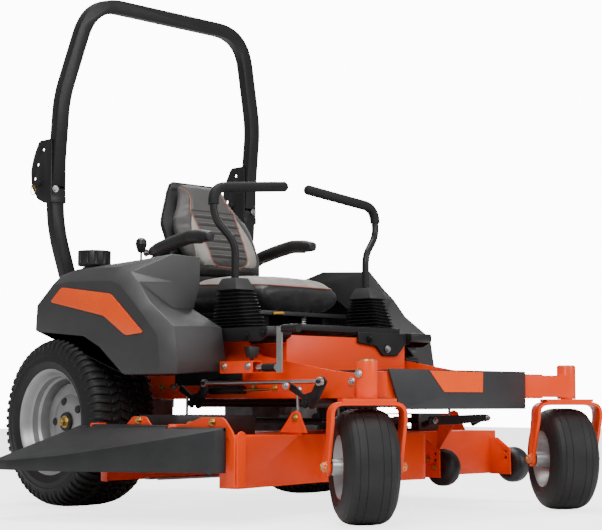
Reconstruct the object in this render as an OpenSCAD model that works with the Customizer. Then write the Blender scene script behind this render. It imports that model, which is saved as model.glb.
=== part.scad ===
// Zero turn mower with a wide side-discharge deck, folding roll bar and two drive levers.
// X runs to the operator's left, -Y is the direction of travel, +Z is up, and Z = 0 is the ground.

/* [Stance] */
// Distance from the rear axle to the caster posts
wheelbase = 1286; // [1284:1:1288]
// Half the distance between the two caster posts
caster_half_track = 472; // [470:1:474]
// Half the distance between the middles of the rear tyres
rear_half_track = 541; // [541:1:545]

/* [Rear wheels] */
// Outer radius of a rear tyre
rear_tyre_r = 284; // [282:1:285]
// Overall width of a rear tyre
rear_tyre_w = 266; // [262:1:266]
// Radius of the bead seat of a rear rim
rear_bead_r = 168; // [164:1:170]

/* [Casters] */
// Outer radius of a caster tyre
caster_tyre_r = 165; // [163:1:165]
// Overall width of a caster tyre
caster_tyre_w = 164; // [160:1:164]
// Distance that the caster axle trails behind its post
caster_trail = 45; // [42:1:48]
// Angle that both casters are turned to
caster_turn = 34; // [30:1:36]

/* [Deck] */
// Height of the deck's lower edge above the ground
deck_bottom = 100; // [98:1:102]
// Height of the deck's skirt
deck_h = 150; // [148:1:150]
// Half the width of the deck
deck_half_w = 690; // [688:1:692]
// Radius that a blade sweeps
blade_r = 230; // [226:1:231]

/* [Frame] */
// Outer face of a frame rail from the centreline
rail_x = 330; // [328:1:330]
// Thickness of the frame's plates
plate_t = 6; // [5:1:6]

/* [Roll bar] */
// Half the distance between the middles of the two posts
bar_half_w = 464; // [463:1:465]
// Height of the middle of the top bar
bar_top_z = 1812; // [1790:1:1815]
// Width of the roll bar's tube across the machine
bar_tube_w = 50; // [48:1:50]
// Depth of the roll bar's tube along the machine
bar_tube_d = 38; // [36:1:38]

/* [Seat] */
// Half the width of the seat cushion
seat_half_w = 205; // [195:1:206]
// Half the distance between the middles of the armrests
armrest_x = 245; // [244:1:246]

/* [Hidden] */
$fn = 64;

orange = "#f0591c";
charcoal = "#505052";
frame_black = "#262627";
rubber_black = "#1f1f20";
silver = "#b4b4b4";

// Where the machine stands in its own box: the origin is at the middle of the footprint
machine_x = 154;
machine_y = 90;

rear_axle_y = 300;
caster_y = rear_axle_y - wheelbase;
rear_axle_z = rear_tyre_r;
deck_top = deck_bottom + deck_h;
run_gap = 0.05;        // radial clearance of every running fit

// ---------- helpers ----------

function last(v) = v[len(v) - 1];
function unit(v) = v / norm(v);
function reversed(v) = [for (i = [len(v) - 1 : -1 : 0]) v[i]];
function mirrored(pts) = [for (p = pts) [-p.x, p.y]];

// Rounds the inner corners of a path, in two or three dimensions
function corner(a, b, c, r, n) =
  let (p = b + unit(a - b) * r, q = b + unit(c - b) * r)
  [for (i = [0 : n]) let (t = i / n) p * (1 - t) * (1 - t) + b * 2 * t * (1 - t) + q * t * t];
function rounded(pts, r, n = 6) = concat([pts[0]],
  [for (i = [1 : len(pts) - 2]) each corner(pts[i - 1], pts[i], pts[i + 1], r, n)], [last(pts)]);
function rounded_loop(pts, r, n = 5) = let (k = len(pts))
  [for (i = [0 : k - 1]) each corner(pts[(i + k - 1) % k], pts[i], pts[(i + 1) % k], r, n)];

// The line at distance d to the left of a flat path
function tangent(pts, i) = unit(pts[min(i + 1, len(pts) - 1)] - pts[max(i - 1, 0)]);
function beside(pts, d) = [for (i = [0 : len(pts) - 1])
  let (t = tangent(pts, i)) pts[i] + d * [-t.y, t.x]];
function loop_tangent(pts, i) = let (k = len(pts)) unit(pts[(i + 1) % k] - pts[(i + k - 1) % k]);
function inset(pts, d) = [for (i = [0 : len(pts) - 1])
  let (t = loop_tangent(pts, i)) pts[i] + d * [-t.y, t.x]];

// A flat strip of width w that follows a path
module strip(pts, w) {
  polygon(concat(beside(pts, w / 2), reversed(beside(pts, -w / 2))));
}

// Puts a drawing of the (Y, Z) plane upright, from x0 to x1
module side_plate(x0, x1) {
  translate([x0, 0, 0]) rotate([90, 0, 90]) linear_extrude(x1 - x0) children();
}

// Puts a drawing of the (X, Z) plane upright, from y0 to y1
module front_plate(y0, y1) {
  translate([0, y1, 0]) rotate([90, 0, 0]) linear_extrude(y1 - y0) children();
}

module box(lo, hi) {
  translate(lo) cube(hi - lo);
}

// A cylinder along X, from x0 to x1
module rod_x(x0, x1, y, z, r) {
  translate([x0, y, z]) rotate([0, 90, 0]) cylinder(r = r, h = x1 - x0);
}

// A cylinder along Y, from y0 to y1
module rod_y(y0, y1, x, z, r) {
  translate([x, y1, z]) rotate([90, 0, 0]) cylinder(r = r, h = y1 - y0);
}

module rod_z(z0, z1, x, y, r) {
  translate([x, y, z0]) cylinder(r = r, h = z1 - z0);
}

// A round bar that follows a path in space; side is never along the path
module round_bar(path, radii, side = [0, 1, 0], n = 16) {
  k = len(path);
  rings = [for (i = [0 : k - 1])
    let (t = unit(path[min(i + 1, k - 1)] - path[max(i - 1, 0)]),
         u = unit(cross(t, side)), v = cross(t, u))
    for (j = [0 : n - 1]) path[i] + radii[i] * (u * cos(360 * j / n) + v * sin(360 * j / n))];
  walls = [for (i = [0 : k - 2], j = [0 : n - 1])
    let (a = i * n + j, b = i * n + (j + 1) % n)
    each [[a, b + n, b], [a, a + n, b + n]]];
  polyhedron(rings, concat(walls, [[for (j = [0 : n - 1]) j]],
    [[for (j = [n - 1 : -1 : 0]) (k - 1) * n + j]]));
}

// A solid through outlines of the (Y, Z) plane, each at its own X; the outlines have as many points
module lofted(xs, outlines) {
  n = len(outlines[0]);
  m = len(xs);
  points = [for (i = [0 : m - 1], p = outlines[i]) [xs[i], p.x, p.y]];
  walls = [for (i = [0 : m - 2], j = [0 : n - 1])
    let (a = i * n + j, b = i * n + (j + 1) % n)
    each [[a, a + n, b + n], [a, b + n, b]]];
  polyhedron(points, concat(walls, [[for (j = [0 : n - 1]) j]],
    [[for (j = [n - 1 : -1 : 0]) (m - 1) * n + j]]));
}

module both_sides() {
  children();
  mirror([1, 0, 0]) children();
}

module on_machine() {
  translate([machine_x, machine_y, 0]) children();
}

// ---------- frame ----------

rail_front_y = -884;
rail_rear_y = 860;
rail_z = 362;
rail_outline = [[rail_front_y, rail_z], [rail_rear_y, rail_z], [rail_rear_y, 440], [-60, 440],
  [-60, 560], [-300, 560], [-385, 497], [-700, 446], [rail_front_y, 428]];
rail_channel_z = 412;
lever_x = 310;
lever_y = -235;
lever_pivot_z = 556;
lever_pin_r = 8;

module frame_rail() {
  difference() {
    union() {
      side_plate(-rail_x, -rail_x + plate_t) polygon(rail_outline);
      box([-rail_x, rail_front_y, rail_z], [-280, rail_rear_y, rail_channel_z]);
    }
    box([-rail_x + plate_t, rail_front_y + plate_t, rail_z + plate_t],
      [-286, rail_rear_y - plate_t, rail_channel_z - plate_t]);
  }
  rod_x(-rail_x + plate_t - 1, -296, lever_y, lever_pivot_z, lever_pin_r);
}

selector_x = -420;
selector_z = 440;
selector_y = [-465, -311];
knob_y = -440;
knob_pin_r = 6;
lever_axis_z = 456;

module right_frame_rail() on_machine() color(orange) {
  frame_rail();
  // box bracket that holds the height selector, on a stand-off
  difference() {
    box([selector_x - 20, selector_y[0], selector_z], [selector_x + 20, selector_y[1], selector_z + 38]);
    box([selector_x - 17, selector_y[0] - 1, selector_z + 3],
      [selector_x + 17, selector_y[1] + 1, selector_z + 35]);
    rod_z(selector_z + 30, selector_z + 40, selector_x, knob_y, knob_pin_r + run_gap);
  }
  rod_x(selector_x + 19, -rail_x + 1, -350, selector_z + 19, 13);
}

module left_frame_rail() on_machine() color(orange) mirror([1, 0, 0]) frame_rail();

beam_x = 400;
beam_y = [-945, -885];
post_z = [360, 466];
post_r = 30.5;
stem_r = 19;

module front_beam() on_machine() color(orange) {
  difference() {
    union() {
      box([-beam_x, beam_y[0], rail_z], [beam_x, beam_y[1], 440]);
      both_sides() {
        rod_z(post_z[0], post_z[1], -caster_half_track, caster_y, post_r);
        translate([0, 0, rail_z + 4]) linear_extrude(70)
          polygon([[-caster_half_track - 10, caster_y - 24], [-caster_half_track + 16, caster_y - 24],
            [-beam_x + 60, beam_y[0]], [-beam_x + 60, beam_y[1]], [-beam_x - 20, beam_y[1]],
            [-caster_half_track - 10, caster_y + 24]]);
      }
    }
    both_sides() rod_z(post_z[0] - 1, post_z[1] - 10, -caster_half_track, caster_y, stem_r + run_gap);
    box([-beam_x + 8, beam_y[0] + 8, rail_z + 8], [beam_x - 8, beam_y[1] - 8, 432]);
  }
}

hitch_y = 908;
hitch_r = 9.5;

module rear_frame() on_machine() color(frame_black) {
  difference() {
    union() {
      box([-279, 400, 441], [279, rail_rear_y, 449]);
      box([-rail_x, rail_rear_y, 330], [rail_x, rail_rear_y + 8, 500]);
      box([-50, rail_rear_y + 8, 352], [50, 936, 362]);
    }
    rod_z(350, 364, 0, hitch_y, hitch_r);
  }
}

module seat_wall() on_machine() color(orange) {
  box([-279, -450, rail_z], [279, -444, 564]);
  both_sides() box([-279, -445, 440], [-273, -260, 540]);
  // shelf for the battery
  box([-120, -445, 446], [120, 10, 452]);
}

panel_y = [-958, -952];

module foot_platform() on_machine() color(charcoal) {
  box([-278, panel_y[1], 441], [278, -452, 447]);
  front_plate(panel_y[0], panel_y[1])
    polygon([[-350, 447], [-300, 330], [292, 330], [292, 447]]);
  box([-300, panel_y[0], 328], [292, panel_y[1] + 20, 332]);
}

cover_z = [540, 586];

module console_covers() on_machine() color(frame_black) both_sides() difference() {
  side_plate(-388, -284) polygon(rounded_loop([[-92, cover_z[1]], [-478, cover_z[1]],
    [-478, cover_z[0] + 18], [-440, cover_z[0]], [-92, cover_z[0] + 8]], 9));
  side_plate(-383, -289) polygon([[-80, cover_z[1] - 5], [-472, cover_z[1] - 5],
    [-472, cover_z[0] - 1], [-80, cover_z[0] - 1]]);
  // slot for the lever's shaft
  box([-348, -330, cover_z[1] - 8], [-286, -140, cover_z[1] + 1]);
}

// ---------- fenders, tank and battery ----------

fender_x = [-640, -604, -470, -396];
fender_outer = [[425, 594], [418, 680], [330, 745], [240, 752], [0, 742], [-50, 725], [-92, 690],
  [-150, 640], [-240, 560], [-255, 470], [-250, 437], [-78, 437], [56, 532], [145, 570]];
fender_shoulder = [[445, 594], [430, 690], [325, 782], [240, 796], [0, 790], [-60, 770],
  [-102, 735], [-160, 668], [-284, 585], [-302, 480], [-296, 436], [-78, 436], [56, 534], [145, 572]];
fender_nose = [[440, 594], [425, 692], [320, 788], [240, 798], [70, 826], [-105, 834],
  [-124, 740], [-112, 656], [-290, 590], [-304, 482], [-298, 446], [-78, 446], [56, 534], [145, 572]];
fender_inner = [[432, 594], [420, 692], [318, 786], [240, 798], [70, 838], [-160, 824],
  [-160, 734], [-128, 654], [-270, 588], [-290, 484], [-284, 447], [-78, 447], [56, 534], [145, 572]];
tank_x = -535;
tank_y = 234;

// Hollow of a fender, open towards the middle of the machine; the fuel tank sits in the right one
fender_hollow = [[-230, 460], [-250, 540], [-150, 610], [-90, 670], [50, 760], [240, 762], [318, 752],
  [395, 690], [400, 606], [150, 592], [50, 556], [-80, 460]];

module fender() difference() {
  lofted(fender_x, [fender_outer, fender_shoulder, fender_nose, fender_inner]);
  side_plate(fender_x[0] + 32, fender_x[3] + 10) polygon(fender_hollow);
}

module right_fender() on_machine() color(charcoal) difference() {
  fender();
  rod_z(700, 850, tank_x, tank_y, 46);
}

module left_fender() on_machine() color(charcoal) mirror([1, 0, 0]) fender();

trim_outline = [[271, 735], [-4, 700], [-176, 568], [-84, 562], [34, 630], [335, 688]];

module fender_trims() on_machine() color(orange) both_sides()
  side_plate(fender_x[0] - 4, fender_x[0]) polygon(rounded_loop(trim_outline, 14));

module fuel_tank() on_machine() color(rubber_black) difference() {
  union() {
    box([-600, 70, 615], [-440, 310, 738]);
    rod_z(737, 806, tank_x, tank_y, 40);
  }
  box([-594, 76, 621], [-446, 304, 732]);
  rod_z(730, 807, tank_x, tank_y, 34);
}

module fuel_cap() on_machine() color(rubber_black) {
  difference() {
    rod_z(812, 862, tank_x, tank_y, 56);
    for (a = [0 : 30 : 330]) translate([tank_x, tank_y, 0]) rotate(a) rod_z(820, 856, 58, 0, 6);
  }
  rod_z(800, 812, tank_x, tank_y, 33);
}

module battery() on_machine() color(rubber_black) {
  box([-95, -140, 452], [95, 0, 570]);
  both_sides() rod_z(570, 582, -60, -70, 9);
}

// ---------- roll bar ----------

post_y = 573;
hinge_y = 628;
hinge_z = 1138;
hinge_r = 8;
post_top_z = 1118;
post_path = [[-bar_half_w, post_top_z], [-bar_half_w, 985], [-358, 660], [-358, 372]];
ear_outline = [[555, 1064], [592, 1064], [640, 1084], [676, 1130], [684, 1190], [668, 1240],
  [634, 1296], [555, 1296]];

module rops_posts() on_machine() color(frame_black) both_sides() {
  difference() {
    union() {
      front_plate(post_y - bar_tube_d / 2, post_y + bar_tube_d / 2)
        strip(rounded(post_path, 90, 8), bar_tube_w);
      for (x = [-bar_half_w - 32, -bar_half_w + 26]) side_plate(x, x + 6)
        polygon(rounded_loop(ear_outline, 12, 3));
      box([-bar_half_w - 32, 552, 1066], [-bar_half_w + 32, 594, 1090]);
    }
    for (p = [[640, 1210], [606, 1262], [658, 1160]])
      rod_x(-bar_half_w - 40, -bar_half_w + 40, p.x, p.y, 7);
    rod_x(-bar_half_w - 40, -bar_half_w + 40, hinge_y, hinge_z, hinge_r);
    box([-bar_half_w - 19, post_y - 13, 1000], [-bar_half_w + 19, post_y + 13, post_top_z + 1]);
  }
  rod_x(-bar_half_w - 44, -bar_half_w + 44, hinge_y, hinge_z, hinge_r);
  rod_x(-bar_half_w - 44, -bar_half_w - 32, hinge_y, hinge_z, 13);
  rod_x(-bar_half_w + 32, -bar_half_w + 44, hinge_y, hinge_z, 13);
}

hoop_lean = 5.7;
hoop_foot_z = 1128;
hoop_h = (bar_top_z - hoop_foot_z) / cos(hoop_lean);
hoop_path = [[-bar_half_w, 0], [-bar_half_w, 322], [-368, hoop_h], [368, hoop_h],
  [bar_half_w, 322], [bar_half_w, 0]];
hoop_rounds = [0, 60, 130, 130, 60, 0];
function hoop_line() = concat([hoop_path[0]],
  [for (i = [1 : 4]) each corner(hoop_path[i - 1], hoop_path[i], hoop_path[i + 1], hoop_rounds[i], 10)],
  [hoop_path[5]]);

module rops_hoop() on_machine() color(frame_black) difference() {
  union() {
    translate([0, post_y, hoop_foot_z]) rotate([hoop_lean, 0, 0])
      front_plate(-bar_tube_d / 2, bar_tube_d / 2) strip(hoop_line(), bar_tube_w);
    both_sides() side_plate(-bar_half_w - 24, -bar_half_w + 24)
      polygon([[582, 1130], [600, 1118], [640, 1118], [650, 1150], [640, 1172], [582, 1200]]);
  }
  both_sides() rod_x(-bar_half_w - 30, -bar_half_w + 30, hinge_y, hinge_z, hinge_r + run_gap);
}

// ---------- engine and drive ----------

engine_y = 560;
clutch_z = [276, 296];
clutch_r = 70;

module engine_block() on_machine() color(frame_black) {
  rod_z(449, 690, 0, engine_y, 140);
  for (a = [-45, 45]) translate([0, engine_y, 0]) rotate(a) {
    box([-62, 100, 500], [62, 262, 640]);
    for (k = [0 : 5]) box([-72, 140 + k * 20, 492], [72, 146 + k * 20, 648]);
  }
}

module engine_shroud() on_machine() color(charcoal) {
  difference() {
    rod_z(692, 782, 0, engine_y, 190);
    rod_z(691, 770, 0, engine_y, 182);
    for (a = [0 : 15 : 345]) translate([0, engine_y, 760]) rotate(a) box([60, -5, 0], [150, 5, 30]);
  }
  rod_z(782, 800, 0, engine_y, 50);
}

module muffler() on_machine() color(silver) {
  rod_x(-170, 170, 838, 590, 46);
  rod_x(169, 214, 838, 590, 16);
}

shaft_r = 16;

module transaxles() on_machine() color(frame_black) both_sides() {
  box([-326, 232, 222], [-190, 388, 356]);
  rod_x(-456, -326, rear_axle_y, rear_axle_z, shaft_r);
  rod_z(356, 361, -240, 300, 40);
}

module clutch_pulley() on_machine() color(silver) {
  rod_z(clutch_z[0], clutch_z[1], 0, engine_y, clutch_r);
  rod_z(clutch_z[1], 352, 0, engine_y, 62);
  rod_z(352, 438, 0, engine_y, 14);
}

// ---------- seat ----------

platform_hinge_y = -440;
platform_hinge_z = 592;
arm_pivot = [285, 878];
arm_pin_r = 8;
back_front = [[117, 800], [150, 872], [205, 960], [262, 1060], [300, 1140], [318, 1160]];
back_rear = [[350, 1158], [352, 1130], [312, 1040], [262, 950], [225, 860], [204, 800]];
back_outline = [[-160, 792], [-188, 870], [-188, 985], [-124, 1098], [-94, 1162]];

module seat_platform() on_machine() color(frame_black) {
  box([-250, -438, 588], [250, 270, 598]);
  box([-250, -454, 580], [250, -440, 600]);
  rod_x(-250, 250, platform_hinge_y, platform_hinge_z, 8);
}

module seat_shell() on_machine() color(rubber_black) difference() {
  union() {
    both_sides() box([-165, -200, 598.5], [-125, 200, 642]);
    box([-212, -236, 642], [212, 214, 656]);
    intersection() {
      side_plate(-202, 202) polygon(concat([[206, 642], [206, 790]],
        [for (p = reversed(back_rear)) p + [1, 0]],
        [[368, 1150], [366, 1120], [330, 1040], [284, 950], [246, 860], [228, 780], [226, 642]]));
      front_plate(150, 420) polygon(rounded_loop([[-196, 640], [-198, 990], [-124, 1112],
        [-98, 1168], [98, 1168], [124, 1112], [198, 990], [196, 640]], 20));
    }
    both_sides() {
      rod_x(-280, -190, arm_pivot.x, arm_pivot.y, arm_pin_r);
      box([-214, 262, 840], [-196, 300, 905]);
      box([-214, 206, 642], [-196, 226, 656]);
      box([-214, 222, 642], [-196, 300, 880]);
    }
  }
}

module seat_cushion() on_machine() color(charcoal)
  intersection() {
    side_plate(-seat_half_w, seat_half_w) polygon(rounded_loop([[190, 658], [190, 786], [40, 796],
      [-130, 776], [-250, 752], [-256, 700], [-230, 658]], 24));
    translate([0, 0, 650]) linear_extrude(160) polygon(rounded_loop([[-seat_half_w, 190],
      [-seat_half_w, -256], [seat_half_w, -256], [seat_half_w, 190]], 90, 8));
  }

module seat_back() on_machine() color(charcoal)
  intersection() {
    side_plate(-190, 190) polygon(concat(back_front, back_rear));
    front_plate(60, 400) polygon(rounded_loop(concat(back_outline, reversed(mirrored(back_outline))), 26));
  }

arm_path = [[arm_pivot.x, arm_pivot.y + 4], [200, 900], [70, 924], [-40, 914]];

module armrest() difference() {
  union() {
    side_plate(-armrest_x - 27, -armrest_x + 27) strip(rounded(arm_path, 30), 44);
    rod_x(-armrest_x - 27, -armrest_x + 27, arm_pivot.x, arm_pivot.y, 22);
  }
  rod_x(-armrest_x - 40, -armrest_x + 40, arm_pivot.x, arm_pivot.y, arm_pin_r + run_gap);
}

module right_armrest() on_machine() color(rubber_black) armrest();

module left_armrest() on_machine() color(rubber_black) mirror([1, 0, 0]) armrest();

// ---------- drive levers ----------

bellows_z = [587, 714];
bellows_low = [[-366, -308], [-258, -172]];
cap_low = [[-356, -292], [-274, -188]];
lever_path = [[-lever_x, lever_y, 754], [-lever_x, lever_y, 872], [-385, -215, 950],
  [-385, -208, 1052], [-50, -200, 1088]];
tube_line = concat([lever_path[0]], corner(lever_path[0], lever_path[1], lever_path[2], 34, 8),
  corner(lever_path[1], lever_path[2], lever_path[3], 34, 8), [[-385, -212, 994]]);
grip_line = concat([[-385, -212, 996]], corner(lever_path[2], lever_path[3], lever_path[4], 50, 10),
  [lever_path[4]]);
lever_radii = [for (p = tube_line) 12.5, for (p = grip_line) 18];

// A solid through flat outlines, each at its own height; the outlines have as many points
module stacked(heights, outlines) {
  n = len(outlines[0]);
  m = len(heights);
  points = [for (i = [0 : m - 1], p = outlines[i]) [p.x, p.y, heights[i]]];
  walls = [for (i = [0 : m - 2], j = [0 : n - 1])
    let (a = i * n + j, b = i * n + (j + 1) % n)
    each [[a, a + n, b + n], [a, b + n, b]]];
  polyhedron(points, concat(walls, [[for (j = [0 : n - 1]) j]],
    [[for (j = [n - 1 : -1 : 0]) (m - 1) * n + j]]));
}

// Pleated boot: crests and valleys in turn, a little smaller towards the top
pleats = 11;
pleat_depth = 9;
boot_rows = [for (k = [0 : 2 * pleats]) k];
boot_z = [for (k = boot_rows) bellows_z[0] + k * (bellows_z[1] - bellows_z[0]) / (2 * pleats)];
function boot_ring(d) = rounded_loop([bellows_low[0] + [d, d],
  [bellows_low[1].x - d, bellows_low[0].y + d], bellows_low[1] - [d, d],
  [bellows_low[0].x + d, bellows_low[1].y - d]], 16, 3);

module bellows() difference() {
  stacked(boot_z, [for (k = boot_rows) boot_ring(k / 2 + (k % 2) * pleat_depth)]);
  stacked([bellows_z[0] - 1, bellows_z[1] + 1], [boot_ring(14), boot_ring(24)]);
}

module lever_bellows() on_machine() color(rubber_black) both_sides() bellows();

module lever_base() {
  difference() {
    union() {
      rod_z(lever_pivot_z, 716, -lever_x, lever_y, 11);
      rod_x(-323, -297, lever_y, lever_pivot_z, 15);
    }
    rod_x(-324, -296, lever_y, lever_pivot_z, lever_pin_r + run_gap);
  }
  difference() {
    hull() {
      box([cap_low[0].x, cap_low[0].y, 715], [cap_low[1].x, cap_low[1].y, 717]);
      box([-342, -272, 752], [-286, -206, 754]);
    }
    rod_z(735, 760, -lever_x, lever_y, 16);
  }
}

module right_lever_base() on_machine() color(charcoal) lever_base();

module left_lever_base() on_machine() color(charcoal) mirror([1, 0, 0]) lever_base();

// A steel tube, and from its upper bend on the thicker foam grip around it
module drive_lever() round_bar(concat(tube_line, grip_line), lever_radii);

module right_lever() on_machine() color(rubber_black) drive_lever();

module left_lever() on_machine() color(rubber_black) mirror([1, 0, 0]) drive_lever();

// ---------- deck ----------

deck_front_y = -678;
deck_rear_y = -12;
deck_outline = rounded_loop([[-deck_half_w, deck_rear_y], [-deck_half_w, deck_front_y],
  [-214, -556], [-150, -664], [150, -664], [226, -524], [deck_half_w, -524],
  [deck_half_w, deck_rear_y]], 26);
chute_open_y = [-600, -60];
spindles = [[-442, -262], [0, -420], [442, -262]];
spindle_r = 12.5;
roller_y = -590;
roller_z = 131;
roller_r = 62;
roller_axle_r = 6;
roller_faces = [268, 644];       // outer face of each roller's bracket

module roller_bracket(x) difference() {
  union() {
    side_plate(x, x + plate_t) polygon([[-523, 226], [-556, 226], [-612, 188], [-614, 98], [-523, 98]]);
    rod_x(x + plate_t - 1, x + 88, roller_y, roller_z, roller_axle_r);
  }
  for (z = [156, 178]) rod_x(x - 1, x + 10, roller_y - 4, z, 6);
}

module deck_shell() on_machine() color(orange) {
  difference() {
    translate([0, 0, deck_bottom]) linear_extrude(deck_h) polygon(deck_outline);
    translate([0, 0, deck_bottom - 1]) linear_extrude(deck_h - 4) polygon(inset(deck_outline, 5));
    box([-deck_half_w - 10, chute_open_y[0], deck_bottom - 1], [-deck_half_w + 40, chute_open_y[1], 238]);
    for (p = spindles) rod_z(deck_top - 10, deck_top + 1, p.x, p.y, 42);
  }
  for (x = roller_faces) roller_bracket(x);
  // ears that the hanger rods are bolted to
  for (p = [[-368, hanger_y[0]], [-368, hanger_y[1]], [362, hanger_y[1]]]) side_plate(p.x, p.x + plate_t)
    polygon([[p.y - 24, deck_top - 1], [p.y + 24, deck_top - 1], [p.y + 12, 306], [p.y - 12, 306]]);
  // the left front one stands ahead of the deck's wall
  side_plate(362, 362 + plate_t)
    polygon([[-523, 180], [-523, deck_top], [-540, 306], [-594, 306], [-594, 270]]);
}

cover_h = 60;

module belt_cover() difference() {
  translate([0, 0, deck_top]) linear_extrude(cover_h)
    polygon(rounded_loop([[-640, -150], [-640, -330], [-560, -420], [-380, -420], [-380, -150]], 16));
  translate([0, 0, deck_top - 1]) linear_extrude(cover_h - 2)
    polygon(rounded_loop([[-636, -140], [-636, -328], [-558, -416], [-370, -416], [-370, -140]], 14));
}

module belt_covers() on_machine() color(frame_black) both_sides() belt_cover();

module spindle_housings() on_machine() color(silver) for (p = spindles) difference() {
  union() {
    rod_z(192, 268, p.x, p.y, 40);
    rod_z(deck_top, 256, p.x, p.y, 62);
  }
  rod_z(190, 270, p.x, p.y, spindle_r + run_gap);
}

module spindle(p) {
  rod_z(118, 300, p.x, p.y, spindle_r);
  rod_z(clutch_z[0], clutch_z[1], p.x, p.y, pulley_r);
  difference() {
    box([p.x - blade_r, p.y - 32, 112], [p.x + blade_r, p.y + 32, 118]);
    for (s = [-1, 1]) translate([p.x + s * blade_r, p.y, 110]) rotate(-s * 9)
      box([-70, s * 22 - 6, 0], [70, s * 22 + 30, 10]);
  }
}

module right_blade() on_machine() color(silver) spindle(spindles[0]);

module centre_blade() on_machine() color(silver) spindle(spindles[1]);

module left_blade() on_machine() color(silver) spindle(spindles[2]);

pulley_r = 65;
belt_h = 8;

// A belt around round pulleys, each a place and a radius
module belt(pulleys, z) translate([0, 0, z]) linear_extrude(belt_h) difference() {
  hull() for (p = pulleys) translate(p[0]) circle(r = p[1] + 8);
  hull() for (p = pulleys) translate(p[0]) circle(r = p[1] + 0.6);
}

module deck_belt() on_machine() color(rubber_black) {
  belt([for (p = spindles) [p, pulley_r]], clutch_z[0] + 1);
  belt([[spindles[1], pulley_r], [[0, engine_y], clutch_r]], clutch_z[0] + 11);
}

lift_pivots = [-672, -140];
lift_pivot_z = 347;
hanger_tip = [88, 46];
rod_tip = [-48, 64];

hanger_y = [for (y = lift_pivots) y + hanger_tip.x + 2];

module deck_hangers() on_machine() color(silver) both_sides() for (y = hanger_y) {
  rod_z(286, 386, -357, y, 4.5);
  rod_x(-362, -348, y, 292, 6.5);
}

chute_axis_x = -716;
chute_axis_z = 270;
chute_rod_r = 5;

module chute_hinge() on_machine() color(orange) {
  box([-700, -410, deck_top], [-642, -14, deck_top + 6]);
  for (y = [-410, -20]) front_plate(y, y + 6)
    polygon([[-728, 262], [-722, 284], [-668, 284], [-644, 252], [-700, 252]]);
  rod_y(-412, -12, chute_axis_x, chute_axis_z, chute_rod_r);
}

module chute_body(grow, drop) intersection() {
  linear_extrude(320) polygon(inset(chute_loop, -grow));
  // everything below the sloping top
  front_plate(-700, 100) polygon([[-1060, 100], [-690, 100], [-690, 276 - drop], [-720, 276 - drop],
    [-1060, 168 - drop]]);
}

chute_loop = rounded_loop([[-704, 48], [-704, -654], [-740, -654], [-868, -440], [-985, -215],
  [-1040, -30], [-1040, 48]], 17, 4);

module chute_deflector() on_machine() color(rubber_black) difference() {
  union() {
    difference() {
      chute_body(0, 0);
      chute_body(8, 8);
      box([-1100, -700, 90], [-600, 100, 146]);
      // open towards the deck's discharge opening
      box([-720, -640, 140], [-690, 60, 258]);
    }
    rod_y(-402, -22, chute_axis_x, chute_axis_z, 11);
  }
  rod_y(-703, 103, chute_axis_x, chute_axis_z, chute_rod_r + run_gap);
  // room for the hinge's ears
  for (y = [-414, -24]) box([-736, y, 240], [-700, y + 14, 300]);
}

module roller(x) difference() {
  translate([x, roller_y, roller_z]) rotate([0, 90, 0]) rotate_extrude($fn = 96)
    polygon(rounded_loop([[0, 0], [46, 0], [roller_r, 18], [roller_r, 54], [46, 72], [0, 72]], 12, 4));
  rod_x(x - 1, x + 100, roller_y, roller_z, roller_axle_r + run_gap);
}

module inner_roller() on_machine() color(rubber_black) roller(roller_faces[0] + 10);

module outer_roller() on_machine() color(rubber_black) roller(roller_faces[1] + 10);

// ---------- rear wheels ----------

// A tyre's section, open to the rim: half of it is mirrored
module tyre(r, w, bead, shoulder) rotate([0, 90, 0]) rotate_extrude($fn = 128) difference() {
  polygon(tyre_section(r, w / 2, bead, shoulder, 0));
  polygon(tyre_section(r - 14, w / 2 - 14, bead - 2, shoulder, 0));
}

function tyre_section(r, h, bead, shoulder, k) = concat(
  [[bead, -h * 0.76]],
  rounded([[bead, -h * 0.76], [bead + (r - bead) * 0.45, -h], [r - shoulder * 0.4, -h + 4],
    [r, -h + shoulder], [r, h - shoulder], [r - shoulder * 0.4, h - 4],
    [bead + (r - bead) * 0.45, h], [bead, h * 0.76]], 12, 4),
  [[bead, h * 0.76]]);

module rear_tyre() tyre(rear_tyre_r, rear_tyre_w, rear_bead_r, 34);

// Half of a rim's section, from the flange to the well; the other half is its mirror image
function rim_side(bead, h, well, well_h) = [[bead + 8, h + 8], [bead + 8, h + 13], [bead - 6, h + 5],
  [bead - 6, well_h + 14], [well - 5, well_h]];
function rim_seat(bead, h, well, well_h) = [[well, well_h], [bead - 1, well_h + 12], [bead - 1, h + 3]];
function rim_section(bead, h, well, well_h) = let (inner = rim_side(bead, h, well, well_h),
  outer = rim_seat(bead, h, well, well_h)) concat(inner,
  [for (p = reversed(inner)) [p.x, -p.y]], [for (p = reversed(outer)) [p.x, -p.y]], outer);
rim_disc_x = -36;

// Stepped rim, its outer side towards -X
module rear_rim() difference() {
  union() {
    rotate([0, 90, 0]) rotate_extrude($fn = 96)
      polygon(rim_section(rear_bead_r, rear_tyre_w / 2 * 0.76, 148, 58));
    rod_x(rim_disc_x, rim_disc_x + 6, 0, 0, 150);
    rod_x(rim_disc_x - 8, 130, 0, 0, 42);
  }
  rod_x(rim_disc_x - 10, 140, 0, 0, shaft_r + run_gap);
  for (a = [0 : 72 : 288]) rotate([a, 0, 0]) rod_x(rim_disc_x - 2, rim_disc_x + 8, 64, 0, 8);
}

module at_right_wheel() translate([-rear_half_track, rear_axle_y, rear_axle_z]) children();

module right_rear_tyre() on_machine() color(rubber_black) at_right_wheel() rear_tyre();

module right_rear_rim() on_machine() color(silver) at_right_wheel() rear_rim();

module left_rear_tyre() on_machine() color(rubber_black) mirror([1, 0, 0]) at_right_wheel() rear_tyre();

module left_rear_rim() on_machine() color(silver) mirror([1, 0, 0]) at_right_wheel() rear_rim();

// ---------- casters ----------

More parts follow.
